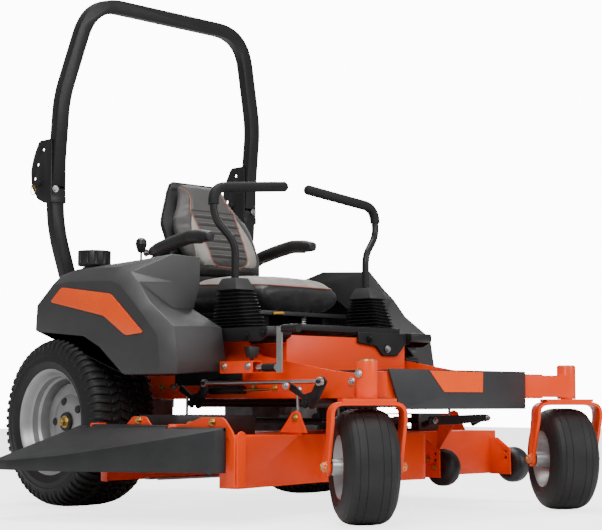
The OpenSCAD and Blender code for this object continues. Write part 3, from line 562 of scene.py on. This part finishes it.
def hexNut(name, radius, height, washer, material):  # mm, standing on its washer along Z
    bm = bmesh.new()
    bmesh.ops.create_cone(bm, cap_ends=True, segments=20, radius1=washer / 1000, radius2=washer / 1000,
                          depth=0.002, matrix=Matrix.Translation((0, 0, 0.001)))
    bmesh.ops.create_cone(bm, cap_ends=True, segments=6, radius1=radius / 1000, radius2=radius / 1000,
                          depth=height / 1000, matrix=Matrix.Translation((0, 0, 0.002 + height / 2000)))
    bmesh.ops.create_cone(bm, cap_ends=True, segments=14, radius1=radius / 1900, radius2=radius / 1900,
                          depth=0.003, matrix=Matrix.Translation((0, 0, 0.0035 + height / 1000)))
    return newPiece(name, bm, material, 30)


def makeRearWheel(side, sideName):
    body = sideName + "_rear_wheel"
    place = Matrix.Translation(at(side * 541, 300, 284))
    mirror = Matrix.Scale(-1, 4, (1, 0, 0)) if side > 0 else Matrix.Identity(4)
    bm = bmesh.new()
    lathe(bm, rearCarcass(rearTyre), 120)
    carcass = newPiece("carcass", bm, tyreRubber, 50)
    lugs = ringOf("lugs", treadPitch(rearTyre), rearTyre["pitches"], tyreRubber)
    tyre = merged(sideName + "RearTyre", [carcass, lugs])
    give(turned(tyre, place @ mirror, side > 0), body, "tyre_rubber", sideName + "_rear_tyre")
    rim = rimParts(rearWheel)
    rim.name = sideName + "RearRim"
    give(turned(rim, place @ mirror, side > 0), body, "silver_rim", sideName + "_rear_rim")
    # painted shade: black cones stand for the dark lug holes with their bolts, with a black disc under the axle nut,
    # and the axle nut
    circle, discX = rearWheel["boltCircle"], rearWheel["discX"]
    angles = [2 * math.pi * (i + 0.25) / rearWheel["bolts"] for i in range(rearWheel["bolts"])]
    bm = bmesh.new()
    for a in angles:
        hole = Matrix.Translation((discX / 1000 - 0.002, circle * math.sin(a) / 1000, circle * math.cos(a) / 1000))
        bmesh.ops.create_cone(bm, cap_ends=True, segments=28, radius1=0.0145, radius2=0.012, depth=0.007,
                              matrix=hole @ Matrix.Rotation(math.radians(-90), 4, "Y"))
    bmesh.ops.create_cone(bm, cap_ends=True, segments=40, radius1=0.034, radius2=0.031, depth=0.014,
                          matrix=Matrix.Translation((discX / 1000 - 0.006, 0, 0))
                          @ Matrix.Rotation(math.radians(-90), 4, "Y"))
    hub = newPiece(sideName + "LugHoles", bm, blackPlastic, 30)
    give(turned(hub, place @ mirror, side > 0), body, "black_plastic")
    nut = hexNut(sideName + "AxleNut", 15, 16, 21, zincPlate)
    lay = Matrix.Translation((discX / 1000 - 0.013, 0, 0)) @ Matrix.Rotation(math.radians(-90), 4, "Y")
    give(turned(nut, place @ mirror @ lay, side > 0), body, "zinc_steel")


def makeCaster(side, sideName):
    turn = Matrix.Translation(at(side * 472, -986, 0)) @ Matrix.Rotation(math.radians(-34), 4, "Z")
    place = turn @ Matrix.Translation((0, 0.045, 0.165))
    w, r, bead = casterTyre["halfWidth"], casterTyre["radius"], casterTyre["bead"]
    outer = [(0, r), (20, r), (20.8, r - 1.5), (22.2, r - 1.5), (23, r - 0.4), (42, r - 2), (42.8, r - 3.6),
             (44.2, r - 3.8), (45, r - 2.8), (54, r - 6), (60, r - 9), (61, r - 10.5), (62.4, r - 11.4),
             (63.4, r - 11.4), (69, r - 18), (77, r - 32),
             (w - 1, r - 46), (w, r - 54), (w - 2, r - 56), (w - 4, bead + 18), (w - 10, bead + 8),
             (w - 14, bead + 6), (w - 20, bead)]
    inner = [(w - 24, bead), (w - 14, bead + 20), (w - 20, r - 36), (48, r - 18), (0, r - 14)]
    section = [(-x, y) for x, y in reversed(outer[1:])] + outer + inner + [(-x, y) for x, y in reversed(inner[:-1])]
    bm = bmesh.new()
    lathe(bm, section, 110)
    tyre = newPiece(sideName + "CasterTyre", bm, tyreRubber, 32)
    give(turned(tyre, place), sideName + "_caster_wheel", "tyre_rubber", sideName + "_caster_tyre")
    bm = bmesh.new()
    for key in ("barrel", "disc", "hub"):
        lathe(bm, casterWheel[key], 80)
    rim = newPiece(sideName + "CasterRim", bm, rimPaint, 28)
    give(turned(rim, place), sideName + "_caster_wheel", "silver_rim", sideName + "_caster_rim")
    fork = fromNode(sideName + "_fork", sideName + "Fork", orangePaint, 2.2)
    give(fork, sideName + "_caster", "orange_paint", sideName + "_fork")
    nuts = []
    for s in (-1, 1):
        nut = hexNut("nut", 14, 11, 19, zincPlate)
        lay = Matrix.Translation((s * 0.1105, 0, 0)) @ Matrix.Rotation(math.radians(90 * s), 4, "Y")
        nuts.append(turned(nut, place @ lay))
    give(merged(sideName + "CasterNuts", nuts), sideName + "_caster", "zinc_steel")


for side, sideName in ((-1, "right"), (1, "left")):
    makeRearWheel(side, sideName)
    makeCaster(side, sideName)
print("wheels made")

# ---- seat

seatShape = {
    # rows of (y, z, half width, half depth); the pad lies between them
    "back": [(168, 806, 150, 30), (176, 826, 176, 37), (190, 866, 187, 38), (214, 915, 190, 36),
             (240, 965, 189, 33), (262, 1010, 178, 30), (284, 1054, 146, 27), (302, 1092, 124, 25),
             (318, 1126, 112, 22), (330, 1150, 100, 17)],
    "cushion": [(-238, 704, 160, 28), (-226, 708, 188, 44), (-196, 713, 199, 52), (-130, 716, 202, 58),
                (-40, 719, 203, 62), (40, 721, 203, 64), (110, 721, 202, 61), (160, 721, 196, 58),
                (178, 722, 176, 50)],
    "voxel": 6, "cap": 9, "pressure": 4,
}


def pillow(name, rows, material, power=2.6, sides=44):
    # superellipse rings along a line in the middle plane
    bm = bmesh.new()
    rings = []
    middles = [Vector((0, y, z)) for y, z, w, d in rows]
    for i, (y, z, w, d) in enumerate(rows):
        along = (middles[min(i + 1, len(rows) - 1)] - middles[max(i - 1, 0)]).normalized()
        out = Vector((0, -along.z, along.y))
        ring = []
        for j in range(sides):
            a = 2 * math.pi * j / sides
            c, s = math.cos(a), math.sin(a)
            u = math.copysign(abs(c) ** (2 / power), c) * w
            v = math.copysign(abs(s) ** (2 / power), s) * d
            ring.append(bm.verts.new(at(u, y + out.y * v, z + out.z * v)))
        rings.append(ring)
    skin(bm, rings)
    return newPiece(name, bm, material)


def stuff(piece, setup):  # swells the pad with cloth pressure, capped, then subdivides it once
    remesh = piece.modifiers.new("remesh", "REMESH")
    remesh.mode, remesh.voxel_size = "VOXEL", setup["voxel"] / 1000
    settle(piece)
    count = len(piece.data.vertices)
    rest = np.empty(count * 3)
    piece.data.vertices.foreach_get("co", rest)
    cloth = piece.modifiers.new("cloth", "CLOTH")
    cloth.settings.use_pressure = True
    cloth.settings.uniform_pressure_force = setup["pressure"]
    cloth.settings.effector_weights.gravity = 0
    for step in range(1, 21):
        scene.frame_set(step)
    swollen = piece.evaluated_get(bpy.context.evaluated_depsgraph_get())
    moved = np.empty(count * 3)
    swollen.data.vertices.foreach_get("co", moved)
    piece.modifiers.clear()
    way = (moved - rest).reshape(-1, 3)
    size = np.linalg.norm(way, axis=1, keepdims=True)
    way *= np.minimum(1, setup["cap"] / 1000 / np.maximum(size, 1e-9))
    rest = rest + way.ravel()
    scene.frame_set(1)
    piece.data.vertices.foreach_set("co", rest)
    smooth = piece.modifiers.new("even", "SMOOTH")
    smooth.factor, smooth.iterations = 0.5, 6
    fine = piece.modifiers.new("fine", "SUBSURF")
    fine.levels = fine.render_levels = 1
    settle(piece)
    piece.data.update()
    return piece


def press(piece, depthAt):  # moves each point inwards along its normal by depthAt(x, y, z), in mm
    piece.data.update()
    normals = [v.normal.copy() for v in piece.data.vertices]
    for v, n in zip(piece.data.vertices, normals):
        p = (v.co - shift) * 1000
        v.co -= n * depthAt(p.x, p.y, p.z, n) / 1000
    piece.data.update()


def groove(distance, width, depth):
    return depth * math.exp(-((distance / width) ** 2))


def panelEdge(z):  # half width of the back's quilted middle panel, rounded at its foot
    low = max(0, 1 - max(0, z - 834) / 34)
    return 84 + (z - 834) * 0.1 - 26 * low * low


def headEdge(z):  # the headrest's seam runs outwards to its top corners
    return 105 - 22 * math.sin(math.pi * min(1, (z - 1044) / 110))


def isBolster(x, z):  # the pale side cushions, widest low down and pointed at the top
    reach = (z - 838) / 190
    return 0 < reach < 1 and panelEdge(z) + 3 < abs(x) < panelEdge(z) + 58 * (1 - reach ** 2.2)


def makeSeat():
    back = stuff(pillow("seatBack", seatShape["back"], seatGrey), seatShape)
    channels = [868 + 30 * i for i in range(6)]

    def backDepth(x, y, z, n):
        if n.y > 0.1:
            return 0
        deep = 0
        edge = panelEdge(z)
        if 834 < z < 1044:
            deep = max(deep, groove(abs(x) - edge, 5, 5))
            if abs(x) < edge:
                deep = max(deep, 2.5, *(groove(z - c, 5, 7) for c in channels))
        if abs(x) < edge:
            deep = max(deep, groove(z - 834, 5, 5))
        elif 838 < z < 1028:
            deep = max(deep, groove(abs(x) - edge - 58 * (1 - ((z - 838) / 190) ** 2.2), 5, 4))
        if z >= 1044:
            deep = max(deep, groove(abs(x) - headEdge(z), 5, 3.5))
        return deep

    press(back, backDepth)
    back.data.materials.append(seatDark)
    back.data.materials.append(seatBlack)
    for face in back.data.polygons:
        p = (face.center - shift) * 1000
        if face.normal.y > 0.35:
            face.material_index = 2
        elif not isBolster(p.x, p.z):
            face.material_index = 1
    give(back, "seat", "seat_vinyl", "seat_back")

    cushion = stuff(pillow("seatCushion", seatShape["cushion"], seatGrey), seatShape)

    def cushionDepth(x, y, z, n):
        if n.z < 0.2:
            return groove(z - 742 - (y + 240) * 0.05, 4, 4)
        deep = 0
        if -190 < y < 150:
            deep = groove(abs(x) - 112, 6, 6)
        if abs(x) < 112:
            deep = max(deep, *(groove(y - c, 6, 6) for c in (-150, -92, -34, 24)))
        return deep

    press(cushion, cushionDepth)
    cushion.data.materials.append(seatDark)
    cushion.data.materials.append(seatBlack)
    for face in cushion.data.polygons:
        p = (face.center - shift) * 1000
        if p.z < 742 + (p.y + 240) * 0.05:
            face.material_index = 2
    give(cushion, "seat", "seat_vinyl", "seat_cushion")

    # piping in the seam round the back's panel, and stitches beside the channels
    graph = bpy.context.evaluated_depsgraph_get()
    graph.update()

    def onBack(x, z):
        hit, place, normal, index = back.ray_cast(at(x, -200, z), Vector((0, 1, 0)))
        return place + normal * 0.0012 if hit else None

    side = [(headEdge(z), z) for z in range(1142, 1044, -8)] + [(panelEdge(z), z) for z in range(1042, 836, -8)]
    loop = side + [(x, 835) for x in range(50, -51, -10)] + [(-x, z) for x, z in reversed(side)]
    piping = [p for p in (onBack(x, z) for x, z in loop) if p]
    bm = bmesh.new()
    sweep(bm, piping, 0.0019, 8)
    # and along the cushion's edge, where the grey top meets the black side
    rim = []
    for i in range(97):
        a = math.radians(-225 + 270 * i / 96)
        way, z = Vector((math.cos(a), math.sin(a), 0)), 744
        for again in range(3):
            hit, place, normal, index = cushion.ray_cast(at(0, -20, z) + way * 0.5, -way)
            if not hit:
                break
            z = 742 + ((place - shift).y * 1000 + 240) * 0.05
        if hit:
            rim.append(place + normal * 0.001)
    sweep(bm, rim, 0.0022, 8)
    give(newPiece("seatPiping", bm, seatPiping), "seat", "seat_vinyl")
    thread = bmesh.new()
    bmesh.ops.create_cone(thread, cap_ends=True, segments=6, radius1=0.0009, radius2=0.0009, depth=0.0045)
    stitch = newPiece("stitch", thread, seatGrey)
    lines = []
    for c in channels:
        line = [p for p in (onBack(x, c + 9) for x in range(-78, 79, 6)) if p]
        if len(line) > 2:
            lines.append(line)
    give(stitched("backStitches", lines, stitch, 8, seatGrey), "seat", "seat_vinyl")
    bpy.data.objects.remove(stitch)


makeSeat()
armrest = {"line": [(285, 882), (240, 893), (200, 901), (150, 911), (70, 923), (10, 919), (-36, 913)],
           "half": (26, 22)}


def makeArmrest(side, sideName):
    line = armrest["line"]
    rows = [(y, z, armrest["half"][0] - (6 if i in (0, len(line) - 1) else 0),
             armrest["half"][1] - (5 if i in (0, len(line) - 1) else 0)) for i, (y, z) in enumerate(line)]
    pad = pillow(sideName + "Armrest", rows, seatBlack, 2.8)
    pad.data.transform(Matrix.Translation((side * 0.245, 0, 0)))
    stuff(pad, {"voxel": 5, "cap": 4, "pressure": 3})
    body = sideName + "_arm"
    give(pad, body, "armrest_vinyl", sideName + "_armrest")
    bm = bmesh.new()
    bar = [at(side * 245, y, z - 20) for y, z in line[:-1]]
    sweep(bm, bar, 0.006, 8)
    give(newPiece(sideName + "ArmrestBar", bm, blackPaint), body, "black_paint")
    bolt = hexNut("bolt", 9, 7, 14, whiteZinc)
    give(onPoints(sideName + "ArmrestBolt", bolt, [((side * 271, 285, 878), (side, 0, 0))], whiteZinc),
         body, "zinc_steel")
    bpy.data.objects.remove(bolt)


for side, sideName in ((-1, "right"), (1, "left")):
    makeArmrest(side, sideName)
print("seat made")

# ---- drive levers and boots

leverShape = {
    "tube": [(310, -235, 757), (310, -235, 872), (385, -215, 950), (385, -212, 996)],
    "grip": [(385, -212, 996), (385, -208, 1052), (50, -200, 1088)],
    "tubeRadius": 12.5, "gripRadius": 17.5,
}


def makeLever(side, sideName):
    body = sideName + "_drive_lever"
    bm = bmesh.new()
    tube = roundCorners([at(side * x, y, z) for x, y, z in leverShape["tube"]], 0.036)
    sweep(bm, tube, leverShape["tubeRadius"] / 1000, 20)
    give(newPiece(sideName + "LeverTube", bm, blackPaint), body, "black_paint", sideName + "_lever")
    grip = roundCorners([at(side * x, y, z) for x, y, z in leverShape["grip"]], 0.052, 14)
    r = leverShape["gripRadius"] / 1000
    radii = [r * (0.8 if i in (0, len(grip) - 1) else 1) for i in range(len(grip))]
    grip.insert(1, grip[0].lerp(grip[1], 0.05))
    radii.insert(1, r)
    grip.insert(-1, grip[-1].lerp(grip[-2], 0.02))
    radii.insert(-1, r)
    bm = bmesh.new()
    sweep(bm, grip, radii, 22)
    give(newPiece(sideName + "LeverGrip", bm, foamGrip, 60), body, "lever_foam")
    base = fromNode(sideName + "_lever_base", sideName + "LeverBase", charcoalPlastic, 5, 30)
    give(base, sideName + "_lever_post", "charcoal_plastic", sideName + "_lever_base")


boot = {"pleats": 11, "depth": 10, "flare": 40, "low": (-366, -308), "high": (-258, -172), "z": (587, 714), "rise": 10}


def makeBoots(setup):
    # each crest and valley is rounded; the pleats rise towards the middle of the machine
    bm = bmesh.new()
    corners = 6
    for s in (-1, 1):
        rings = []
        rows = setup["pleats"] * 6
        for k in range(rows + 1):
            t = k / rows
            wave = setup["depth"] * (0.5 - 0.5 * math.cos(2 * math.pi * setup["pleats"] * t)) ** 0.8
            d = t * 11 + wave
            z = setup["z"][0] + t * (setup["z"][1] - setup["z"][0])
            x0, y0 = setup["low"][0] + d, setup["low"][1] + d - setup["flare"] * (1 - t)
            x1, y1 = setup["high"][0] - d, setup["high"][1] - d
            ring = []
            for cx, cy, start in ((x1 - 14, y1 - 14, 0), (x0 + 14, y1 - 14, 90), (x0 + 14, y0 + 14, 180),
                                  (x1 - 14, y0 + 14, 270)):
                for i in range(corners):
                    a = math.radians(start + 90 * i / (corners - 1))
                    x, y = cx + 14 * math.cos(a), cy + 14 * math.sin(a)
                    lift = setup["rise"] * ((x - setup["low"][0]) / 108 - 0.5) * math.sin(math.pi * t)
                    ring.append(bm.verts.new(at(-s * x if s > 0 else x, y, z + lift)))
            rings.append(ring)
        skin(bm, rings)
    give(newPiece("leverBoots", bm, blackRubber, 50), "chassis", "black_rubber", "lever_bellows")


for side, sideName in ((-1, "right"), (1, "left")):
    makeLever(side, sideName)
makeBoots(boot)
print("levers made")

# ---- painted and moulded pieces that keep the frame's shape, with rounded edges

dressed = [  # node, piece, body, material, slot, edge radius in mm
    ("right_frame_rail", "rightFrameRail", "chassis", orangePaint, "orange_paint", 1.5),
    ("left_frame_rail", "leftFrameRail", "chassis", orangePaint, "orange_paint", 1.5),
    ("front_beam", "frontBeam", "chassis", orangePaint, "orange_paint", 3),
    ("rear_frame", "rearFrame", "chassis", blackPaint, "black_paint", 2),
    ("seat_wall", "seatWall", "chassis", orangePaint, "orange_paint", 2),
    ("foot_platform", "footPlatform", "chassis", charcoalPaint, "charcoal_paint", 2.5),
    ("console_covers", "consoleCovers", "chassis", blackPlastic, "black_plastic", 2),
    ("right_fender", "rightFender", "chassis", charcoalPlastic, "charcoal_plastic", 7),
    ("left_fender", "leftFender", "chassis", charcoalPlastic, "charcoal_plastic", 7),
    ("fender_trims", "fenderTrims", "chassis", orangeGloss, "orange_plastic", 1.5),
    ("battery", "battery", "chassis", blackPlastic, "black_plastic", 3),
    ("rops_posts", "ropsPosts", "chassis", blackPaint, "black_paint", 1.2),
    ("engine_block", "engineBlock", "chassis", castAlloy, "cast_alloy", 1.2),
    ("engine_shroud", "engineShroud", "chassis", blackPlastic, "black_plastic", 2),
    ("seat_platform", "seatPlatform", "seat_tray", blackPaint, "black_paint", 1.5),
    ("seat_shell", "seatShell", "seat", blackPlastic, "black_plastic", 3),
    ("rops_hoop", "ropsHoop", "roll_bar", blackPaint, "black_paint", 5),
    ("deck_shell", "deckShell", "deck", orangePaint, "orange_paint", 4),
    ("belt_covers", "beltCovers", "deck", blackPlastic, "black_paint", 6),
    ("chute_hinge", "chuteHinge", "deck", orangePaint, "orange_paint", 1.5),
    ("chute_deflector", "chuteDeflector", "chute", flapRubber, "black_rubber", 11),
    ("front_lift_arms", "frontLiftArms", "front_crank", blackPaint, "black_paint", 1),
    ("rear_lift_arms", "rearLiftArms", "rear_crank", blackPaint, "black_paint", 1),
    ("lift_pedal", "liftPedal", "pedal", blackPaint, "black_paint", 1.2),
    ("height_knob", "heightKnob", "height_pin", blackPlastic, "black_plastic", 3),
    ("fuel_cap", "fuelCap", "tank_cap", blackPlastic, "black_plastic", 2),
]
for node, name, body, material, slotName, edge in dressed:
    give(fromNode(node, name, material, edge), body, slotName, node)

plain = {  # CAD nodes that keep their own mesh
    "fuel_tank": blackPlastic, "muffler": hotSteel, "transaxles": castAlloy, "deck_belt": blackRubber,
    "spindle_housings": castAlloy, "deck_hangers": whiteZinc, "lift_rod": whiteZinc, "inner_roller": blackPlastic,
    "outer_roller": blackPlastic, "right_blade": bladeSteel, "centre_blade": bladeSteel,
    "left_blade": bladeSteel, "clutch_pulley": bladeSteel, "throttle_lever": blackPlastic,
    "side_lever": whiteZinc,
}
for node, material in plain.items():
    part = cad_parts[node]
    part.data.materials.clear()
    part.data.materials.append(material)
print("frame pieces dressed")


# ---- fasteners, trim plates and small fittings

fasteners = [  # piece, body, material, slot, nut radius, places as (x, y, z) in mm and the way each faces
    ("chassisBolts", "chassis", whiteZinc, "zinc_steel", 9, [
        ((-440, -446, 462), (-1, 0, 0)), ((-440, -334, 462), (-1, 0, 0)), ((-330, -790, 412), (-1, 0, 0)),
        ((-479, 552, 1114), (0, -1, 0)), ((479, 552, 1114), (0, -1, 0)), ((-330, -560, 388), (-1, 0, 0)),
        ((-505, -986, 430), (-1, 0, 0)), ((330, -790, 412), (1, 0, 0)), ((178, -462, 529), (0, -1, 0))]),
    ("chassisYellowBolts", "chassis", zincPlate, "zinc_steel", 8, [
        ((-330, -356, 400), (-1, 0, 0)), ((-330, -452, 394), (-1, 0, 0)), ((-330, 60, 400), (-1, 0, 0)),
        ((-330, 110, 400), (-1, 0, 0)), ((330, -120, 400), (1, 0, 0)), ((330, 60, 400), (1, 0, 0))]),
    ("consoleBolts", "chassis", blackPaint, "black_paint", 11, [
        ((-388, -457, 566), (-1, 0, 0)), ((-388, -380, 560), (-1, 0, 0)), ((388, -457, 566), (1, 0, 0)),
        ((95, -462, 560), (0, -1, 0))]),
    ("trayBolts", "seat_tray", whiteZinc, "zinc_steel", 8, [
        ((-250, -440, 591), (-1, 0, 0)), ((250, -440, 591), (1, 0, 0))]),
    ("frontCrankBolts", "front_crank", whiteZinc, "zinc_steel", 9, [((-410, -586, 400), (-1, 0, 0))]),
    ("rearCrankBolts", "rear_crank", whiteZinc, "zinc_steel", 9, [((-410, -54, 400), (-1, 0, 0))]),
    ("crankPivots", "chassis", blackPaint, "black_paint", 12, [
        ((-411, -672, 347), (-1, 0, 0)), ((-411, -140, 347), (-1, 0, 0))]),
    ("deckBolts", "deck", zincPlate, "zinc_steel", 9, [
        ((-375, -590, 302), (-1, 0, 0)), ((375, -590, 302), (1, 0, 0)), ((268, -589, 134), (-1, 0, 0)),
        ((268, -560, 160), (-1, 0, 0)), ((-697, -578, 292), (-1, 0, 0)), ((-694, -226, 294), (-1, 0, 0)),
        ((-607, -367, 280), (-0.75, -0.66, 0)), ((607, -367, 280), (0.75, -0.66, 0))]),
    ("swayNuts", "deck", whiteZinc, "zinc_steel", 8, [
        ((136, -710, 290), (0, -1, 0)), ((404, -710, 297), (0, -1, 0))]),
]
for name, body, material, slotName, radius, places in fasteners:
    nut = hexNut("nut", radius, radius * 0.75, radius * 1.35, material)
    give(onPoints(name, nut, places, material), body, slotName)
    bpy.data.objects.remove(nut)


def sidePlate(bm, x, thick, outline):  # a plate standing in the Y-Z plane, in mm
    slab(bm, [at(x, y, z) for y, z in outline], Vector((thick / 1000, 0, 0)))


def frontPlate(bm, y, thick, outline):  # a plate standing in the X-Z plane, in mm
    slab(bm, [at(x, y, z) for x, z in outline], Vector((0, -thick / 1000, 0)))


plates = {
    "hangerTab": [(-517, 256), (-558, 300), (-572, 317), (-590, 324), (-607, 317), (-616, 298), (-640, 256)],
    "cornerSide": [(-673, 106), (-673, 246), (-664, 264), (-632, 298), (-618, 305), (-524, 305), (-508, 300),
                   (-452, 284), (-412, 284), (-412, 264), (-560, 258), (-640, 246), (-652, 236), (-655, 106)],
    "hingeTab": [(-284, 280), (-262, 302), (-252, 306), (-198, 306), (-188, 302), (-160, 280)],
    "swayLink": [(112, 276), (112, 298), (120, 304), (390, 310), (408, 309), (416, 302), (416, 294), (406, 286),
                 (240, 276)],
    "cornerFront": [(-690, 106), (-690, 250), (-684, 262), (-672, 266), (-660, 262), (-655, 250), (-655, 106)],
    "footInsert": [(-172, 444), (-106, 380), (76, 380), (78, 442)],
    "railCover": [(-300, 404), (-300, 470), (40, 470), (40, 404)],
    "wallBracket": [(40, 584), (276, 584), (276, 548), (232, 506), (160, 506), (128, 536), (40, 546)],
}


plateSets = [  # piece, body, material, slot, edge radius, plates as (kind, place, thickness, outline)
    ("deckTabs", "deck", orangePaint, "orange_paint", 2, [
        (sidePlate, -368, -6.5, "hangerTab"), (sidePlate, 368, 6.5, "hangerTab"), (sidePlate, -690, -6, "cornerSide"),
        (frontPlate, -673, 6, "cornerFront"), (sidePlate, -688, -6, "hingeTab")]),
    ("footInsert", "chassis", orangeGloss, "orange_plastic", 1, [(frontPlate, -958, 2.5, "footInsert")]),
    ("wallBracket", "chassis", blackPaint, "black_paint", 3, [
        (frontPlate, -450, 10, "wallBracket"), (sidePlate, -332, -6, "railCover")]),
    ("swayLink", "deck", blackPaint, "black_paint", 2.5, [(frontPlate, -700, 9, "swayLink")]),
]
for name, body, material, slotName, edge, parts in plateSets:
    bm = bmesh.new()
    for makePlate, place, thick, outline in parts:
        makePlate(bm, place, thick, plates[outline])
    give(bevelEdges(newPiece(name, bm, material), edge), body, slotName)


def bars(name, body, material, slotName, lines, sides=18):  # lines: (radius, points in mm)
    bm = bmesh.new()
    for radius, points in lines:
        sweep(bm, [at(*p) for p in points], radius / 1000, sides)
    give(newPiece(name, bm, material, 50), body, slotName)


bars("damperBody", "chassis", blackPlastic, "black_plastic", [
    (13, [(-346, -158, 388), (-346, -162, 388), (-346, -316, 388), (-346, -320, 388)])])
bars("damperRod", "chassis", zincPlate, "zinc_steel", [(4.5, [(-346, -318, 388), (-346, -448, 390)])])
bars("leverSleeves", "side_arm", blackRubber, "black_rubber", [
    (13.5, [(-420, -586, 574), (-420, -590, 574), (-420, -648, 574), (-420, -652, 574)]),
    (13, [(-420, -498, 456), (-420, -502, 456), (-420, -548, 456), (-420, -552, 456)])])
bars("swayBar", "deck", blackPaint, "black_paint", [
    (10, [(140, -655, 276), (140, -702, 288)]), (8, [(390, -655, 276), (390, -702, 296)])])
bars("seatTag", "seat", amberPlastic, "black_plastic", [
    (4.5, [(-142, -241, 646), (-136, -242, 647), (-104, -242, 649), (-98, -241, 648)])], 10)
bars("linkTube", "link_rod", whiteZinc, "zinc_steel", [(6.5, [(-398, -700, 411), (-398, -206, 411)])])


def makeSpring(middle, radius, height, turns):
    steps = turns * 16
    path = [at(middle[0] + radius * math.cos(i * math.pi / 8), middle[1] + radius * math.sin(i * math.pi / 8),
               middle[2] + height * i / steps) for i in range(steps + 1)]
    bm = bmesh.new()
    sweep(bm, path, 0.0016, 8)
    give(newPiece("trayStop", bm, whiteZinc), "seat_tray", "zinc_steel")


makeSpring((15, -222, 601), 9, 38, 6)


def makeLockPins():  # a pin with a ring through it on the outside of each roll bar joint
    bm = bmesh.new()
    for s in (-1, 1):
        sweep(bm, [at(s * 494, 640, 1128), at(s * 520, 640, 1128)], 0.0055, 14)
        ring = [at(s * 514, 640 + 15 * math.sin(i * math.pi / 10), 1113 + 15 * math.cos(i * math.pi / 10))
                for i in range(20)]
        sweep(bm, ring + ring[:1], 0.0017, 8)
    give(newPiece("lockPins", bm, zincPlate), "chassis", "zinc_steel")


makeLockPins()


def makePostCaps():
    bm = bmesh.new()
    for s in (-1, 1):
        bmesh.ops.create_cone(bm, cap_ends=True, segments=36, radius1=0.029, radius2=0.027, depth=0.004,
                              matrix=Matrix.Translation(at(s * 472, -986, 468)))
    give(newPiece("postCaps", bm, zincPlate, 30), "chassis", "zinc_steel")


makePostCaps()
print("fittings made")


def makeFloor():
    bm = bmesh.new()
    bmesh.ops.create_grid(bm, x_segments=1, y_segments=1, size=14)
    floor = newPiece("floor", bm, floorPaper)


makeFloor()
